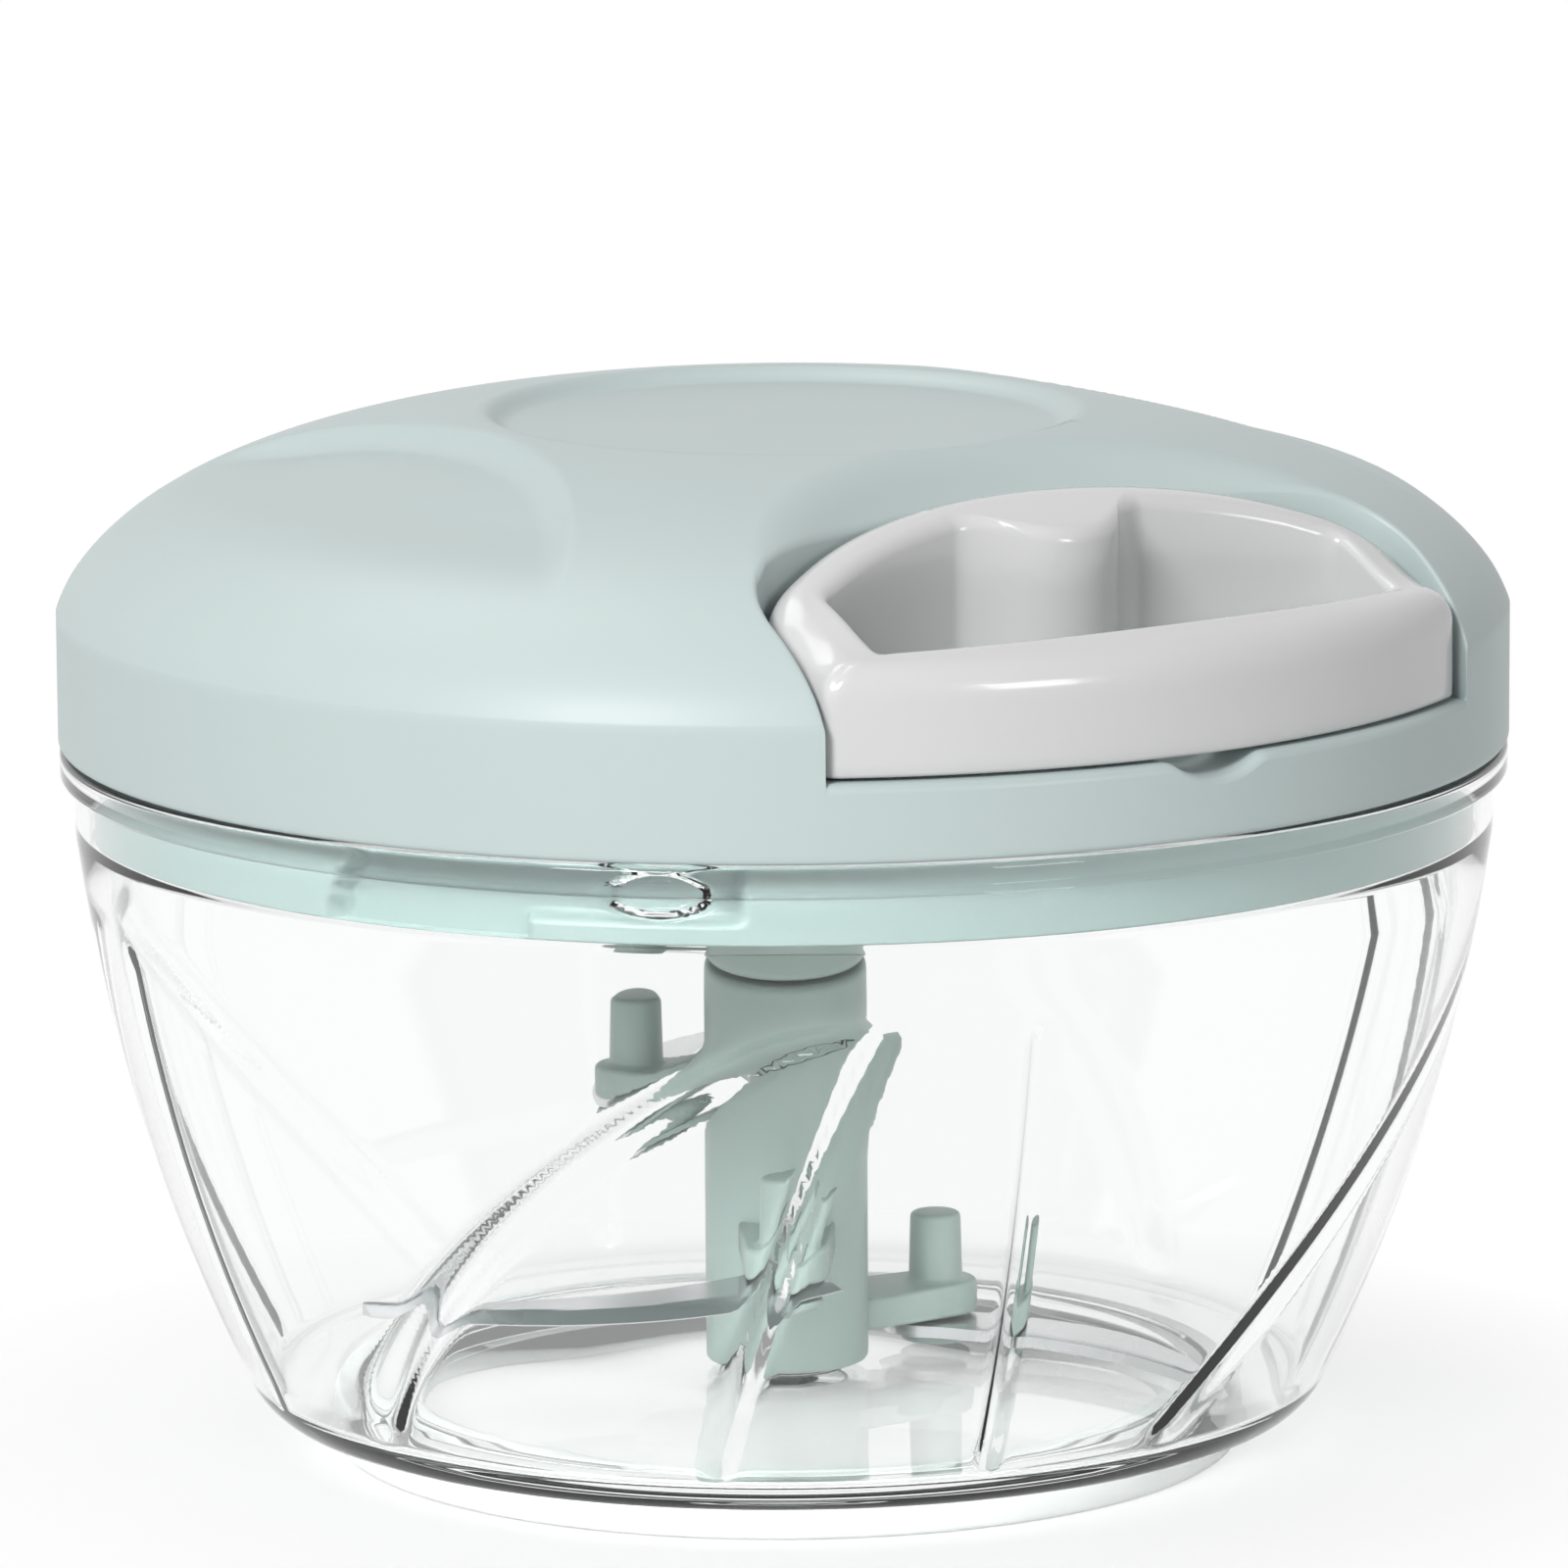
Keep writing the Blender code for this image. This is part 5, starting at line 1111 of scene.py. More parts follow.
    def edges(self) -> List[Array]:
        """Return the blade's cutting edge and its back, from the root round to the tip.

        Both start on the side of the root circle that faces the tube, run round it, and leave
        it as bulged chords to the tip.

        Returns:
            The cutting edge and the back, as rows of (x, y).
        """
        middle, cap = 167.5 * DEGREE, self.rows // 4
        centre = np.array([self.peg_circle, 0.0])
        tip = self.tip_radius * np.array([math.cos(self.sweep), -math.sin(self.sweep)])
        aside = np.array([-tip[1], tip[0]]) / np.linalg.norm(tip) * self.tip_half
        made = []
        for end, target, bulge in ((100.0 * DEGREE, tip + aside, 8.0), (235.0 * DEGREE, tip - aside, 4.0)):
            angle = np.linspace(middle, end, cap)[:, None]
            arc = centre + self.root_radius * np.hstack([np.cos(angle), np.sin(angle)])
            share = np.linspace(0.0, 1.0, self.rows - cap + 1)[1:, None]
            made.append(np.vstack([arc, bulged_line(arc[-1], target, bulge, share)]))
        return made

    def build_blade(self, number: int) -> Object:
        """Make one blade: a closed loop across it at each station, thinned to an edge on the outside.

        Across the blade, s goes from 0 at the back to 1 at the cutting edge. The lower face rises
        and the upper one falls evenly over the ground width, and the back's top edge is rounded.

        Args:
            number: which blade, from 0.

        Returns:
            The blade, turned to its arm's angle.
        """
        across, thinned, edge_lift, back_round = 15, 0.88, 0.04, 0.15
        cutting, back = self.edges()
        share = np.linspace(0.0, 1.0, across)
        plan = back[:, None, :] * (1 - share)[None, :, None] + cutting[:, None, :] * share[None, :, None]
        width = np.linalg.norm(cutting - back, axis=1)[:, None]
        ground = np.clip((share - 1.0) * width / self.grind + 1.0, 0.0, 1.0)
        rounding = back_round * np.cos(QUARTER * np.clip(share / 0.04, 0, 1))
        upper = self.thickness * (1.0 - thinned * ground) - rounding
        top = np.dstack([plan, self.heights[number] + upper])
        low = np.dstack([plan, self.heights[number] + edge_lift * ground])[:, ::-1]
        loops = np.concatenate([top, low], axis=1)
        count = loops.shape[1]
        faces = grid_faces(self.rows, count, closed_columns=True).tolist()
        last = (self.rows - 1) * count
        faces += [list(range(count)), list(range(last, last + count))[::-1]]
        piece = make_object(f"{self.nodes[number]}_ground", loops, faces, Slot.BLADE, merge=FINE_MERGE)
        move_points(piece, lambda points: turn_points(points, self.angles[number]))
        piece.data.set_sharp_from_angle(angle=25 * DEGREE)
        BLADE.dress(piece)
        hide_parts(self.nodes[number])
        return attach(piece, "blades")


@dataclass(frozen=True)
class LidForm:
    """The lid's shared form: its dome, and the half-moon bay that the handle lies in."""

    radius: float = 65.0
    edge_z: float = 64.6
    side_top: float = 76.8
    crown_z: float = 94.8
    reach: float = 66.5
    power: float = 2.73
    inverse: float = 2.37
    half_width: float = 33.630
    arc_radius: float = 62.0
    arc_centre: float = 95.8
    fillet: float = 7.0

    def fall(self, radius: Array) -> Array:
        """Return the fall of the superellipse below its crown, 1 - (1 - (r/A)^p)^(1/q)."""
        share = np.minimum(radius, self.radius) / self.reach
        return 1 - np.maximum(0.0, 1 - share ** self.power) ** (1 / self.inverse)

    def dome(self, radius: Array) -> Array:
        """Return the dome's height: crown - rise * fall(r) / fall(R)."""
        return self.crown_z - (self.crown_z - self.side_top) * self.fall(radius) / self.fall(self.radius)

    def fillet_centre(self) -> Tuple[float, float]:
        """Return the end fillet's centre, as its x and its distance out from the lid's axis line."""
        x = self.half_width - self.fillet
        return x, self.arc_centre - math.sqrt((self.arc_radius - self.fillet) ** 2 - x ** 2)

    def distance(self, x: Array, y: Array, gap: float) -> Array:
        """Return the plan distance from the bay's outline, positive outside the bay.

        The nearest piece of outline is the arc, an end's fillet or a straight side.

        Args:
            x: plan x.
            y: plan y.
            gap: how far the outline lies outside the handle's.

        Returns:
            The distances.
        """
        fillet_x, fillet_u = self.fillet_centre()
        side = np.abs(x)
        lean = math.atan2(fillet_x, self.arc_centre - fillet_u)
        arc = np.hypot(x, y + self.arc_centre) - self.arc_radius
        corner = np.hypot(side - fillet_x, y + fillet_u) - self.fillet
        at_corner = np.arctan2(side, y + self.arc_centre) > lean
        return np.where(y < -fillet_u, side - self.half_width, np.where(at_corner, corner, arc)) - gap

    def touch(self, gap: float) -> Tuple[float, float]:
        """Return the angle off -Y, and the radius, where a ray from the axis just touches a fillet.

        Args:
            gap: how far the outline lies outside the handle's.

        Returns:
            The angle and the radius.
        """
        fillet_x, fillet_u = self.fillet_centre()
        centre, size = math.hypot(fillet_x, fillet_u), self.fillet + gap
        return math.atan2(fillet_x, fillet_u) + math.asin(size / centre), math.sqrt(centre ** 2 - size ** 2)

    def near_outline(self, off: Array, gap: float) -> Array:
        """Return the radius at which rays from the axis first meet the bay's outline.

        A ray at an angle off -Y meets a circle of radius q about c at c.u - (q^2 - |c x u|^2)^0.5.

        Args:
            off: angles off -Y, within the touching rays.
            gap: how far the outline lies outside the handle's.

        Returns:
            The radii.
        """
        fillet_x, fillet_u = self.fillet_centre()
        size, sine, cosine = self.arc_radius + gap, np.sin(np.abs(off)), np.cos(off)
        arc = self.arc_centre * cosine - root(size ** 2 - (self.arc_centre * sine) ** 2)
        across = fillet_x * cosine - fillet_u * sine
        end = fillet_x * sine + fillet_u * cosine - root((self.fillet + gap) ** 2 - across ** 2)
        limit = size * math.sin(math.atan2(fillet_x, self.arc_centre - fillet_u))
        return np.where(arc * sine < limit, arc, end)

    def far_outline(self, radius: Array, gap: float) -> Array:
        """Return the angle off -Y of the outline beyond the touching ray, at each radius from the axis.

        Args:
            radius: radii from the axis.
            gap: how far the outline lies outside the handle's.

        Returns:
            The angles.
        """
        fillet_x, fillet_u = self.fillet_centre()
        centre, half = math.hypot(fillet_x, fillet_u), self.half_width + gap
        cosine = (radius ** 2 + centre ** 2 - (self.fillet + gap) ** 2) / (2 * radius * centre)
        end = math.atan2(fillet_x, fillet_u) + np.arccos(np.clip(cosine, -1.0, 1.0))
        straight = np.arcsin(np.clip(half / radius, -1.0, 1.0))
        return np.where(radius > math.hypot(half, fillet_u), straight, end)


FORM = LidForm()


def quarter_drop(distance: Array, size: float) -> Array:
    """Return how far a rounded edge lies below its face: size - (size^2 - (size - d)^2)^0.5."""
    return size - root(size ** 2 - np.clip(size - distance, 0.0, size) ** 2)


def polar(radius: Array, off: Array) -> Tuple[Array, Array]:
    """Return plan x and y of points at a radius and an angle off -Y."""
    return radius * np.sin(off), -radius * np.cos(off)


@dataclass(frozen=True)
class ShellGrid:
    """How finely one face of the lid's shell is drawn, and where it lies."""

    gap: float
    side: float
    ledge: float
    rear_columns: int
    bay_columns: int
    inner_rows: int
    outer_rows: int
    wall_rows: int
    band_rows: int
    edge: float


@dataclass
class LidCover:
    """Domed cover with a dished centre, two finger scallops and the handle's bay."""

    dish_radius: float = 26.7
    dish_floor: float = 92.57
    dish_wall: float = 2.2
    wall: float = 3.2
    scallop_angles: Tuple[float, ...] = (173.1 * DEGREE, 6.9 * DEGREE)
    scallop_centre: float = 90.7
    scallop_radius: float = 62.0
    scallop_depth: float = 2.0
    scallop_wall: float = 3.0
    scallop_fade: Tuple[float, float] = (42.0, 57.5)
    lip_radius: float = 33.1
    lip_drop: float = 4.3
    lip_width: float = 5.2
    scoop_half: float = 4.7
    scoop_depth: float = 1.6
    scoop_length: float = 8.0
    ledge_round: float = 0.35
    crease: Tuple[float, float] = (1.4, 0.35)
    rim_round: float = 0.5
    fine: ShellGrid = ShellGrid(0.7, 65.0, 71.5, 552, 112, 84, 20, 12, 12, 0.5)
    coarse: ShellGrid = ShellGrid(2.7, 62.6, 69.5, 69, 14, 16, 6, 3, 3, 0.0)

    def outer_height(self, x: Array, y: Array) -> Array:
        """Return the height of the cover's outer face.

        The dome gives way to the dish's floor inside its edge. Each scallop takes away its depth
        times 1 - (1 - t)^2, t being the share of the wall crossed, and fades towards the shoulder.
        The lip is a slope that the dome is rounded into, and the bay's rim is a quarter round.

        Args:
            x: plan x.
            y: plan y.

        Returns:
            The heights.
        """
        radius = np.hypot(x, y)
        inside = smooth_step(radius, self.dish_radius - self.dish_wall, self.dish_radius + 0.15)
        height = FORM.dome(radius) * inside + self.dish_floor * (1 - inside)
        fade = 1 - smooth_step(radius, *self.scallop_fade)
        for angle in self.scallop_angles:
            centre = self.scallop_centre * np.array([math.cos(angle), math.sin(angle)])
            deep = self.scallop_radius - np.hypot(x - centre[0], y - centre[1])
            share = np.clip(deep / self.scallop_wall, 0.0, 1.0)
            crest = smooth_step(deep, -0.2, 0.9)
            height = height - self.scallop_depth * (1 - (1 - share) ** 2) * crest * fade
        away = FORM.distance(x, y, self.fine.gap)
        foot = FORM.dome(self.lip_radius) - self.lip_drop
        slope = foot + (away + self.fine.gap / 2) * self.lip_drop / self.lip_width
        return smooth_min(height, slope, 1.6) - quarter_drop(away, self.fine.edge)

    def inner_height(self, x: Array, y: Array) -> Array:
        """Return the height of the cover's inner face: the dome drawn in, no higher than under the dish."""
        radius = np.hypot(x, y) * FORM.radius / self.coarse.side
        return np.minimum(FORM.dome(radius), self.dish_floor) - self.wall

    def ledge_height(self, x: Array, y: Array, grid: ShellGrid) -> Array:
        """Return the height of the bay's floor, with the finger scoop: an arc of the scoop's own radius.

        Args:
            x: plan x.
            y: plan y.
            grid: the face's sizes and counts.

        Returns:
            The heights.
        """
        if not grid.edge:
            return np.full_like(x, grid.ledge)
        size = (self.scoop_half ** 2 + self.scoop_depth ** 2) / (2 * self.scoop_depth)
        hollow = np.maximum(root(size ** 2 - x ** 2) - (size - self.scoop_depth), 0.0)
        radius, start = np.hypot(x, y), grid.side - self.scoop_length
        along = smooth_step(radius, start, start + 1.2)
        return grid.ledge - hollow * along - quarter_drop(grid.side - radius, self.ledge_round)

    def shell_rows(self, grid: ShellGrid, touch_radius: float) -> Tuple[Array, Array, Array]:
        """Return the shell's rows in front of the bay's ends and behind them, and its shares round the lid.

        Rows and columns crowd next to the bay's edge, where the fine grid has its quarter round.

        Args:
            grid: sizes and counts.
            touch_radius: where rays from the axis touch the bay's end fillets.

        Returns:
            Rows as shares of the touching radius, rows beyond it as radii, and columns as shares.
        """
        close = np.array([0.0, 0.06, 0.17, 0.33, 0.55, 0.85, 1.25]) if grid.edge else np.zeros(1)
        inner = np.linspace(0.0, 1.0, grid.inner_rows) ** 0.625
        inner = inner[inner < 1.0 - (close[-1] + 0.3) / touch_radius]
        inner = np.concatenate([inner, (1.0 - close / touch_radius)[::-1]])
        outer = 1 - (1 - np.linspace(0.0, 1.0, grid.outer_rows + 1)[1:]) ** 1.6
        ends = close / (grid.side * 5.0)
        middle = np.linspace(0.0, 1.0, grid.rear_columns + 3 - 2 * len(ends))[1:-1]
        shares = np.concatenate([ends, middle * (1 - 2 * ends[-1]) + ends[-1], (1 - ends)[::-1]])
        return inner, touch_radius + (grid.side - touch_radius) * outer, shares

    def shell(self, grid: ShellGrid,
              top: Callable[[Array, Array], Array]) -> Tuple[Array, List[List[int]], Array]:
        """Work out one face of the shell as grids that share their edges.

        Behind the bay, a column's angle off -Y runs from the outline's own angle at that radius
        to the same on the far side. In front of the axis, rows are shrunk to end on the outline.
        Then come the bay's wall, its floor, its two ends and the band below.

        Args:
            grid: sizes and counts.
            top: the height over a plan point.

        Returns:
            Points, faces, and the numbers of the rim's points in order round the lid.
        """
        touch_angle, touch_radius = FORM.touch(grid.gap)
        inner, outer, shares = self.shell_rows(grid, touch_radius)
        radii = np.concatenate([inner * touch_radius, outer])
        beyond = FORM.far_outline(np.maximum(radii, touch_radius), grid.gap)
        start = np.where(radii <= touch_radius + 1e-6, touch_angle, beyond)[:, None]
        x, y = polar(radii[:, None], start + (TURN - 2 * start) * shares)
        z = top(x, y)
        if grid.edge:
            # soften the crease between the dome and its side
            width, depth = self.crease
            z = z - depth * np.clip((radii - grid.side + width) / width, 0.0, 1.0)[:, None] ** 2
        drop = np.linspace(0.0, 1.0, grid.band_rows // 2 + 1)[1:, None]
        low_z = z[-1:] + (grid.ledge - z[-1:]) * drop
        side = np.dstack([x[-1:] + 0 * low_z, y[-1:] + 0 * low_z, low_z])
        rear = np.concatenate([np.dstack([x, y, z]), side])
        # the sector in front of the axis, and the bay's wall below its edge
        front_off = np.linspace(-touch_angle, touch_angle, grid.bay_columns + 1)
        outline = FORM.near_outline(front_off, grid.gap)
        x, y = polar(inner[:, None] * outline, front_off)
        front = np.dstack([x, y, top(x, y)])
        down = np.linspace(0.0, 1.0, grid.wall_rows + 1)[:, None, None]
        sunk = front[-1:] * [1.0, 1.0, 0.0] + [0.0, 0.0, grid.ledge]
        wall = front[-1:] * (1 - down) + sunk * down
        # the bay's floor, whose two borders follow the rear grid's edge
        edge_rows = np.arange(len(inner) - 1, len(rear))
        steps = np.linalg.norm(np.diff(rear[edge_rows, 0], axis=0), axis=1)
        share = np.concatenate([[0.0], np.cumsum(steps)]) / np.sum(steps)
        side_off = FORM.far_outline(touch_radius + (grid.side - touch_radius) * share, grid.gap)
        side_off[0] = touch_angle
        share, side_off = share[:, None], side_off[:, None]
        floor_off = front_off * (1 + (side_off[-1] / touch_angle - 1) * share)
        weight = (np.abs(front_off) / touch_angle) ** 8
        floor_off = floor_off * (1 - weight) + side_off * np.sign(front_off) * weight
        x, y = polar(outline + (grid.side - outline) * share, floor_off)
        floor = np.dstack([x, y, self.ledge_height(x, y, grid)])
        floor[:, 0, 2] = floor[:, -1, 2] = floor[0, :, 2] = grid.ledge
        ends = [rear[edge_rows, column] * (1 - down) + floor[:, border] * down
                for column, border in ((0, -1), (-1, 0))]
        # the band under both, down to the rim and round it
        rim = np.concatenate([rear[-1], floor[-1, 1:-1]])[None]
        bend = self.rim_round if grid.edge else 0.0
        fall = np.linspace(0.0, 1.0, grid.band_rows + 1)[:, None, None]
        foot = rim * [1.0, 1.0, 0.0] + [0.0, 0.0, FORM.edge_z + bend]
        band = rim * (1 - fall) + foot * fall
        if bend:
            turns = np.linspace(0.0, QUARTER, 5)[1:, None, None]
            curl = foot * (1 - bend * (1 - np.cos(turns)) / grid.side)
            curl[:, :, 2:] = FORM.edge_z + bend * (1 - np.sin(turns))
            band = np.concatenate([band, curl])
        grids = [rear, front, wall, floor, *ends, band]
        faces, base = [], 0
        for piece in grids:
            rows, columns = piece.shape[:2]
            faces += (grid_faces(rows, columns, closed_columns=piece is band) + base).tolist()
            base += rows * columns
        last = base - band.shape[1] + np.arange(band.shape[1])
        return np.vstack([piece.reshape(-1, 3) for piece in grids]), faces, last

    def build(self) -> Object:
        """Make the cover: a finely drawn outer face and a plain inner one, joined by the rim's ring.

        Returns:
            The cover.
        """
        outer, faces, outer_rim = self.shell(self.fine, self.outer_height)
        inner, inner_faces, inner_rim = self.shell(self.coarse, self.inner_height)
        offset, step = len(outer), len(outer_rim) // len(inner_rim)
        inner_rim = inner_rim + offset
        faces += [[point + offset for point in face][::-1] for face in inner_faces]
        for number, (here, there) in enumerate(zip(inner_rim, np.roll(inner_rim, -1))):
            outside = [int(outer_rim[(number * step + k) % len(outer_rim)]) for k in range(step + 1)]
            faces.append(outside + [int(there), int(here)])
        piece = make_object("domed_cover", np.vstack([outer, inner]), faces, Slot.MINT, merge=FINE_MERGE)
        MINT.dress(piece)
        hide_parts("lid_cover")
        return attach(piece, "lid")


@dataclass
class PullHandle:
    """Half-moon handle with a finger opening, a knot boss, its plug and its cord."""

    bottom: float = 71.8
    band_z: float = 81.7
    reach: float = 64.0
    top_drop: float = 1.6
    grip_inner: float = 67.6
    grip_inner_y: float = -107.1
    grip_outer: float = 76.9
    grip_outer_y: float = 18.3
    grip_half: float = 27.4
    boss_radius: float = 6.8
    boss_y: float = -39.0
    boss_flare: float = 20.0
    middle_y: float = -51.0
    outer_round: float = 3.3
    inner_round: float = 1.2
    foot_round: float = 0.45
    squarest: float = 0.35
    columns: int = 480
    plug_y: float = -40.2
    cord_z: float = 79.5 * MM
    cord_radius: float = 1.13 * MM
    cord_rows: int = 640
    cord_columns: int = 16
    plaits: float = 75.0

    def far_circle(self, way: Array, centre_y: float, radius: float) -> Array:
        """Return how far rays from the middle run to a circle round them: c.u + (q^2 - |c x u|^2)^0.5."""
        offset = centre_y - self.middle_y
        return offset * way[1] + root(radius ** 2 - (offset * way[0]) ** 2)

    def outer_loop(self, angle: Array) -> Array:
        """Return the handle's outline as distances from its middle, at angles from +Y towards +X.

        Args:
            angle: angles from +Y towards +X.

        Returns:
            The distances.
        """
        way = np.array([np.sin(angle), np.cos(angle)])
        aside = np.abs(way[0])
        arc = self.far_circle(way, -FORM.arc_centre, FORM.arc_radius)
        rim = self.far_circle(way, 0.0, self.reach)
        fillet_x, fillet_u = FORM.fillet_centre()
        fillet_y = -fillet_u - self.middle_y
        across = fillet_x * way[1] - fillet_y * aside
        corner = fillet_x * aside + fillet_y * way[1] + root(FORM.fillet ** 2 - across ** 2)
        plain = np.minimum(arc, FORM.half_width / np.maximum(aside, 1e-6))
        x, y = plain * aside, plain * way[1]
        lean = math.atan2(fillet_x, FORM.arc_centre - fillet_u)
        at_corner = (y > fillet_y) & (np.arctan2(x, y + self.middle_y + FORM.arc_centre) > lean)
        plain = np.where(at_corner & (np.abs(across) < FORM.fillet), corner, plain)
        return smooth_min(plain, rim, 1.2)

    def inner_loop(self, angle: Array) -> Array:
        """Return the finger opening's outline: a lens, its corners rounded, pushed in by the boss.

        Args:
            angle: angles from +Y towards +X.

        Returns:
            The distances from the middle.
        """
        way = np.array([np.sin(angle), np.cos(angle)])
        back = self.far_circle(way, self.grip_inner_y, self.grip_inner)
        front = self.far_circle(way, self.grip_outer_y, self.grip_outer)
        side = self.grip_half / np.maximum(np.abs(way[0]), 1e-6)
        lens = smooth_min(smooth_min(back, front, 1.5), side, 1.6)
        offset, beyond = self.boss_y - self.middle_y, 1000.0
        inside = self.boss_radius ** 2 - (offset * way[0]) ** 2
        near = offset * way[1] - root(inside)
        graze = np.maximum(-inside, 0.0) / self.boss_radius ** 2
        return smooth_min(lens, np.where(way[1] > 0, near + graze * self.boss_flare, beyond), 3.6)

    def top(self, x: Array, y: Array) -> Array:
        """Return the height of the handle's top: the dome less a step, or the band's where that is more."""
        dome = FORM.dome(np.hypot(x, y)) - self.top_drop
        return -smooth_min(-dome, np.full_like(dome, -self.band_z), 2.2)

    def squareness(self, outline: Array, angle: Array) -> Array:
        """Return how squarely rays cross an outline: rho / (rho^2 + rho'^2)^0.5."""
        slope = np.gradient(np.concatenate([outline[-1:], outline, outline[:1]]))[1:-1] / angle[1]
        return outline / np.hypot(outline, slope)

    def build(self) -> Object:
        """Make the handle as one loop of sections round the opening, closed both ways.

        A section goes up the outer wall, over a quarter round, across the top, over the inner
        quarter round and down the opening's wall, then back along the bottom. Columns crowd
        where the outlines turn.

        Returns:
            The handle.
        """
        even = wheel(4000)
        loops = [self.outer_loop(even), self.inner_loop(even)]
        pace = sum(np.hypot(np.gradient(loop), loop * even[1]) for loop in loops)
        total = np.concatenate([[0.0], np.cumsum(pace)])
        angle = np.interp(np.arange(self.columns) / self.columns * total[-1], total, np.append(even, TURN))
        outer, inner = self.outer_loop(angle), self.inner_loop(angle)
        square = [np.maximum(np.interp(angle, even, self.squareness(loop, even)), self.squarest)
                  for loop in loops]
        need = self.outer_round / square[0] + self.inner_round / square[1]
        fit = np.minimum(1.0, 0.9 * (outer - inner) / need)
        # an edge is an outline, its slant, the way across the bar, and the size of its top round
        outside = (outer, square[0], -1.0, self.outer_round * fit)
        inside = (inner, square[1], 1.0, self.inner_round * fit)

        def place(distance: Array) -> Tuple[Array, Array]:
            """Return plan x and y at distances from the middle."""
            return distance * np.sin(angle), self.middle_y + distance * np.cos(angle)

        def crest(distance: Array, drop: Array) -> Array:
            """Return a ring of points at a drop below the top."""
            x, y = place(distance)
            return np.column_stack([x, y, self.top(x, y) - drop])

        def over(outline: Array, slant: Array, way: float, size: Array, turn: float) -> Array:
            """Return a ring on a rounded top edge, moved across and down by its quarter round."""
            return crest(outline + way * size * (1 - math.cos(turn)) / slant, size * (1 - math.sin(turn)))

        def under(outline: Array, slant: Array, way: float, turn: float) -> Array:
            """Return a ring on a rounded bottom edge."""
            x, y = place(outline + way * self.foot_round * (1 - math.cos(turn)) / slant)
            return np.column_stack([x, y, 0 * x + self.bottom + self.foot_round * (1 - math.sin(turn))])

        def between(start: Array, end: Array) -> List[Array]:
            """Return the seven rings between two, evenly spaced."""
            return [start * (1 - s) + end * s for s in np.linspace(0.0, 1.0, 9)[1:-1]]

        turns = np.linspace(0.0, QUARTER, 8)
        rings = [under(*outside[:3], turn) for turn in turns[::-2]]
        rings += between(under(*outside[:3], 0.0), over(*outside, 0.0))
        rings += [over(*outside, turn) for turn in turns]
        last_outer, last_inner = (outline + way * size / slant
                                  for outline, slant, way, size in (outside, inside))
        rings += [crest(last_outer * (1 - share) + last_inner * share, 0.0)
                  for share in np.linspace(0.0, 1.0, 11)[1:-1]]
        rings += [over(*inside, turn) for turn in turns[::-1]]
        rings += between(over(*inside, 0.0), under(*inside[:3], 0.0))
        rings += [under(*inside[:3], turn) for turn in turns[1::2]]
        for distance in ((inner * 2 + outer) / 3, (inner + outer * 2) / 3):
            rings.append(np.column_stack([*place(distance), np.full_like(angle, self.bottom)]))
        faces = grid_faces(len(rings), self.columns, closed_rows=True, closed_columns=True).tolist()
        piece = make_object("half_moon_handle", np.vstack(rings), faces, Slot.HANDLE, merge=MERGE)
        GREY.dress(piece)
        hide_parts("pull_handle")
        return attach(piece, "handle")

    def build_plug(self) -> Object:
        """Make the knot's plug, a little proud of the handle's underside.

        Returns:
            The plug.
        """
        radius, low, high = 3.1, 71.68, 74.7
        section = rounded_profile([(0.0, low, 0.0), (radius, low, 0.35), (radius, high, 0.2),
                                   (0.0, high, 0.0)], 4, closed=False)
        piece = revolve("plug_disc", section, Slot.HANDLE, 64, closed=False)
        move_points(piece, lambda points: points + np.array([0.0, self.plug_y, 0.0]))
        GREY.dress(piece)
        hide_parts("knot_plug")
        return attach(piece, "handle")

    def build_cord(self) -> Object:
        """Make the pull cord's free run, drawn for its full length of 300 mm and shut up at rest.

        Station w of the way along stands where the stretch puts it: t = 1/2 - sin(asin(1 - 2w) / 3).
        The radius is r times 1 + 0.06 cos(4a + kw) cos(4a - kw), two crossed sets of strands.

        Returns:
            The cord.
        """
        rows, columns = self.cord_rows, self.cord_columns
        start, end = -31.3 * MM, -36.6 * MM
        share = np.linspace(0.0, 1.0, rows)[:, None]
        angle = np.broadcast_to(wheel(columns), (rows, columns))
        plait = self.plaits * TURN * share
        radius = self.cord_radius * (1 + 0.06 * np.cos(4 * angle + plait) * np.cos(4 * angle - plait))
        y = start + (end - start) * (0.5 - np.sin(np.arcsin(1 - 2 * share) / 3)) + 0 * angle
        points = np.dstack([radius * np.cos(angle), y, self.cord_z + radius * np.sin(angle)]).reshape(-1, 3)
        points = np.vstack([points, [[0.0, start, self.cord_z], [0.0, end, self.cord_z]]])
        faces = grid_faces(rows, columns, closed_columns=True).tolist()
        last, foot = rows * columns, (rows - 1) * columns
        for i in range(columns):
            faces += [[(i + 1) % columns, i, last], [foot + i, foot + (i + 1) % columns, last + 1]]
        piece = make_object("braided_pull_cord", points / MM, faces, Slot.CORD)
        CORD.dress(piece)
        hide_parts("pull_cord")
        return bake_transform(piece)

    def build_guide(self) -> Object:
        """Make the grommet that leads the cord through the bay's wall, its mouth rounded.

        Returns:
            The grommet.
        """
        bore, body, flange, back, step, mouth = 1.6, 2.8, 4.0, 29.8, 30.8, 33.35
        section = [(bore, back, 0.2), (flange, back, 0.2), (flange, step, 0.1), (body, step, 0.1),
                   (body, mouth, 0.2), (bore, mouth, 0.4)]
        piece = revolve("cord_grommet", rounded_profile(section, 4), Slot.ACETAL, 64)
        height = self.cord_z / MM
        upright = np.array([[1, 0, 0], [0, 0, 1], [0, -1, 0]])
        move_points(piece, lambda points: points @ upright + [0, 0, height])
        ACETAL.dress(piece)
        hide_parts("cord_guide")
        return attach(piece, "lid")


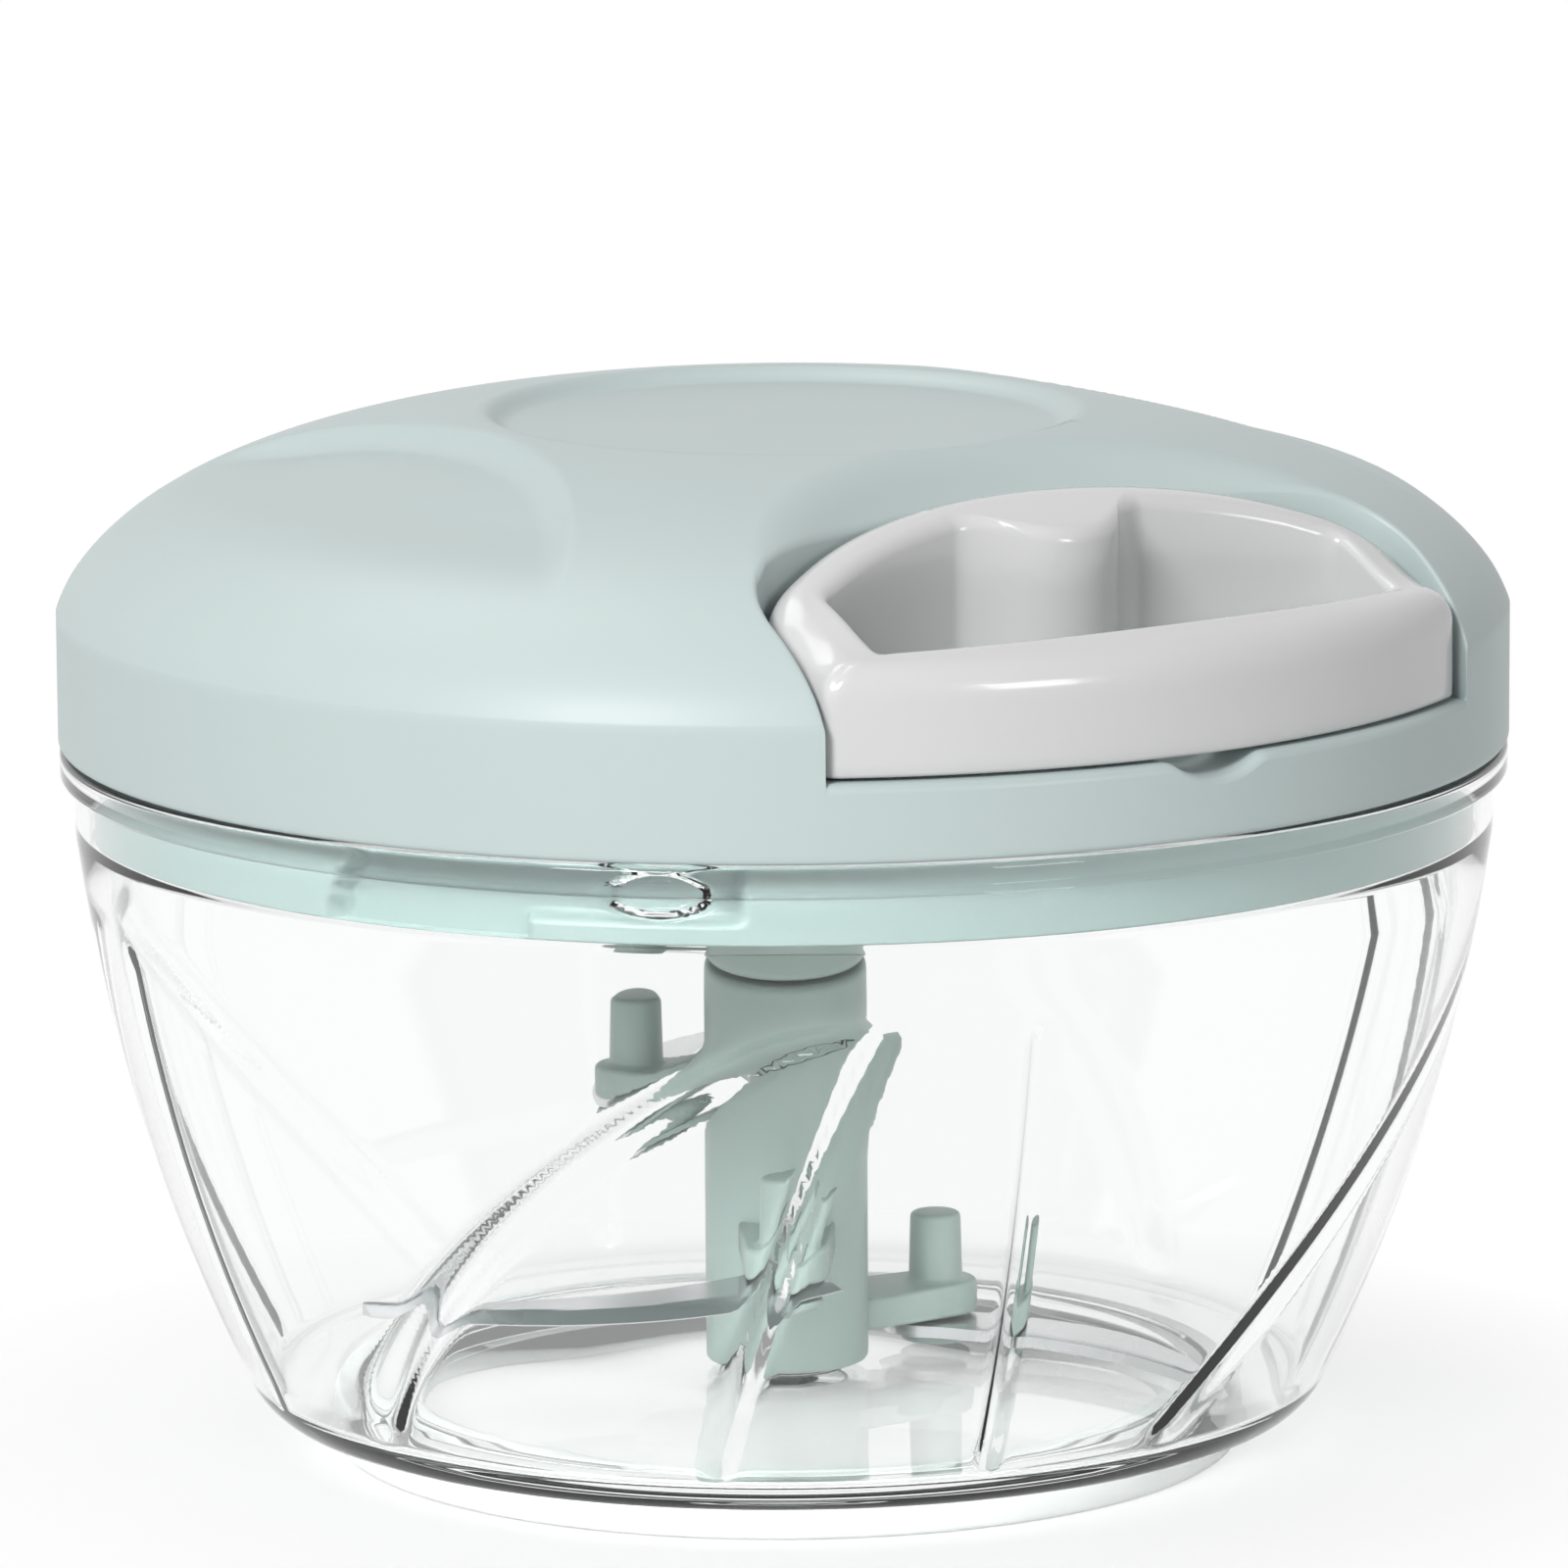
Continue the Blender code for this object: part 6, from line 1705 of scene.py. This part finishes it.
@dataclass(frozen=True)
class Mechanism:
    """The spring, drum, clutch and cord inside the lid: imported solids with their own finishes."""

    finishes: Tuple[Tuple[Finish, str], ...] = (
        (SPRING, "power_spring"),
        (ACETAL, "spring_cover cord_drum pawl_1 pawl_2 shaft_bush"),
        (HOLDER, "ratchet_wheel"),
        (SCREW, "clutch_cap clutch_screw spring_cover_screw_1 spring_cover_screw_2 spring_cover_screw_3"),
        (SILICONE, "shaft_seal"),
        (CORD, "lid_cord wound_cord cord_knot"))

    def dress(self) -> None:
        """Give each carried-over solid its finish."""
        for finish, names in self.finishes:
            finish.dress(*(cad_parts[name] for name in names.split()))


@dataclass
class Studio:
    """The photograph's viewing angle, a pale floor and soft lamps, in metres."""

    azimuth: float = -35.0 * DEGREE
    height_angle: float = 11.24 * DEGREE
    distance: float = 1.040
    target: Tuple[float, float, float] = (0.0, 0.0, 0.0445)
    lens: float = 265.0
    roll: float = 0.35 * DEGREE
    shift: Tuple[float, float] = (-0.0006, 0.106)
    floor_z: float = -0.02 * MM
    floor_half: float = 6.0
    floor_shade: float = 0.80
    white_from: Tuple[float, float] = (0.045, 0.70)
    white_to: Tuple[float, float] = (0.09, 1.0)
    room_light: float = 0.20
    lamp_target: Tuple[float, float, float] = (0.0, 0.0, 0.05)

    def build_camera(self) -> None:
        """Place the camera at the fitted angle, distance, lens and roll."""
        camera = bpy.data.cameras.new("camera")
        camera.lens, camera.sensor_width = self.lens, 36.0
        camera.shift_x, camera.shift_y = self.shift
        camera.clip_start, camera.clip_end = 0.05, 50.0
        obj = bpy.data.objects.new("camera", camera)
        cosine, sine = math.cos(self.height_angle), math.sin(self.height_angle)
        back = Vector((math.sin(self.azimuth) * cosine, -math.cos(self.azimuth) * cosine, sine))
        right = Vector((0.0, 0.0, 1.0)).cross(back).normalized()
        up = back.cross(right)
        turned_right = right * math.cos(self.roll) - up * math.sin(self.roll)
        turned_up = right * math.sin(self.roll) + up * math.cos(self.roll)
        place = Vector(self.target) + back * self.distance
        rows = [[turned_right[i], turned_up[i], back[i], place[i]] for i in range(3)]
        obj.matrix_world = Matrix(rows + [[0.0, 0.0, 0.0, 1.0]])
        bpy.context.scene.collection.objects.link(obj)
        bpy.context.scene.camera = obj

    def build_floor(self) -> None:
        """Lay a wide pale floor that shows white away from the object and keeps its shadow."""
        half, z, shade = self.floor_half, self.floor_z, self.floor_shade
        mesh = bpy.data.meshes.new("floor")
        mesh.from_pydata([(-half, -half, z), (half, -half, z), (half, half, z), (-half, half, z)], [],
                         [[0, 1, 2, 3]])
        floor = bpy.data.objects.new("floor", mesh)
        bpy.context.scene.collection.objects.link(floor)
        made, graph, shader = new_material("pale_floor")
        graph.feed(shader, {"Base Color": (shade, shade, shade, 1.0), "Roughness": 0.9,
                            "Specular IOR Level": 0.0})
        away = graph.add("VectorMath", {0: graph.add("TexCoord")["Object"]}, operation="LENGTH")["Value"]
        far = graph.add("MapRange", {"Value": away, "From Min": self.white_from[0],
                                     "From Max": self.white_to[0], "To Min": self.white_from[1],
                                     "To Max": self.white_to[1]})[0]
        share = graph.add("Math", {0: self.sight(graph), 1: far}, operation="MULTIPLY")[0]
        white = graph.add("Emission", {"Strength": 1.0})[0]
        mix = graph.add("MixShader", {"Fac": share, 1: shader.outputs[0], 2: white})
        graph.feed(made.node_tree.nodes["Material Output"], {"Surface": mix[0]})
        mesh.materials.append(made)

    def sight(self, graph: Graph) -> bpy.types.NodeSocket:
        """Return 1 for rays from the camera, from mirrors and through glass, and 0 for the others.

        Args:
            graph: the graph that the nodes join.

        Returns:
            The socket that carries the number.
        """
        path = graph.add("LightPath")
        direct = {0: path["Is Camera Ray"], 1: path["Is Transmission Ray"]}
        first = graph.add("Math", direct, operation="MAXIMUM")[0]
        return graph.add("Math", {0: first, 1: path["Is Glossy Ray"]}, operation="MAXIMUM")[0]

    def build_world(self) -> None:
        """Light the room plainly, and show it white to the camera, in mirrors and through glass."""
        world = bpy.data.worlds.new("studio")
        bpy.context.scene.world = world
        world.use_nodes = True
        graph = Graph(world.node_tree)
        level = graph.add("MapRange", {"Value": self.sight(graph), "To Min": self.room_light, "To Max": 1.0})
        graph.feed(world.node_tree.nodes["Background"],
                   {"Color": (1.0, 1.0, 1.0, 1.0), "Strength": level[0]})

    def lamp(self, name: str, place: Tuple[float, float, float], side: float, power: float) -> None:
        """Hang one soft square lamp that points at the object.

        Args:
            name: the lamp's name.
            place: where it hangs.
            side: its width and height.
            power: its power in watts.
        """
        light = bpy.data.lights.new(name, "AREA")
        light.shape, light.size, light.energy = "SQUARE", side, power
        obj = bpy.data.objects.new(name, light)
        obj.location = place
        way = Vector(self.lamp_target) - Vector(place)
        obj.rotation_euler = way.to_track_quat("-Z", "Y").to_euler()
        bpy.context.scene.collection.objects.link(obj)

    def build(self) -> None:
        """Set up camera, floor, room and lamps."""
        self.build_camera()
        self.build_floor()
        self.build_world()
        self.lamp("key", (-1.0, -0.50, 0.80), 0.40, 13.5)
        self.lamp("top", (-0.15, 0.45, 1.0), 0.5, 2.0)
        self.lamp("front", (0.10, -1.2, 0.45), 0.30, 2.2)
        bpy.context.scene.view_settings.view_transform = "Standard"


def main() -> None:
    """Build every sub-assembly in order, then the studio."""
    logging.basicConfig(level=logging.INFO, format="%(message)s")
    bowl, base, cover, blades, handle = Bowl(), LidBase(), LidCover(), BladeSet(), PullHandle()
    steps: List[Tuple[str, Callable[[], object]]] = [
        ("bowl", bowl.build), ("foot ring", bowl.build_ring), ("seal", bowl.build_seal),
        ("lid base", base.build), ("lid screws", base.build_screws), ("drive shaft", base.build_shaft),
        ("lid cover", cover.build), ("blade holder", blades.build_holder)]
    steps += [(f"blade {number + 1}", lambda number=number: blades.build_blade(number))
              for number in range(len(blades.nodes))]
    steps += [("handle", handle.build), ("plug", handle.build_plug), ("pull cord", handle.build_cord),
              ("grommet", handle.build_guide), ("mechanism", Mechanism().dress), ("studio", Studio().build)]
    for name, step in steps:
        made = step()
        shown = [made] if isinstance(made, Object) else made or []
        LOG.info("%s: %d points", name, sum(len(piece.data.vertices) for piece in shown))


if __name__ == "__main__":
    main()
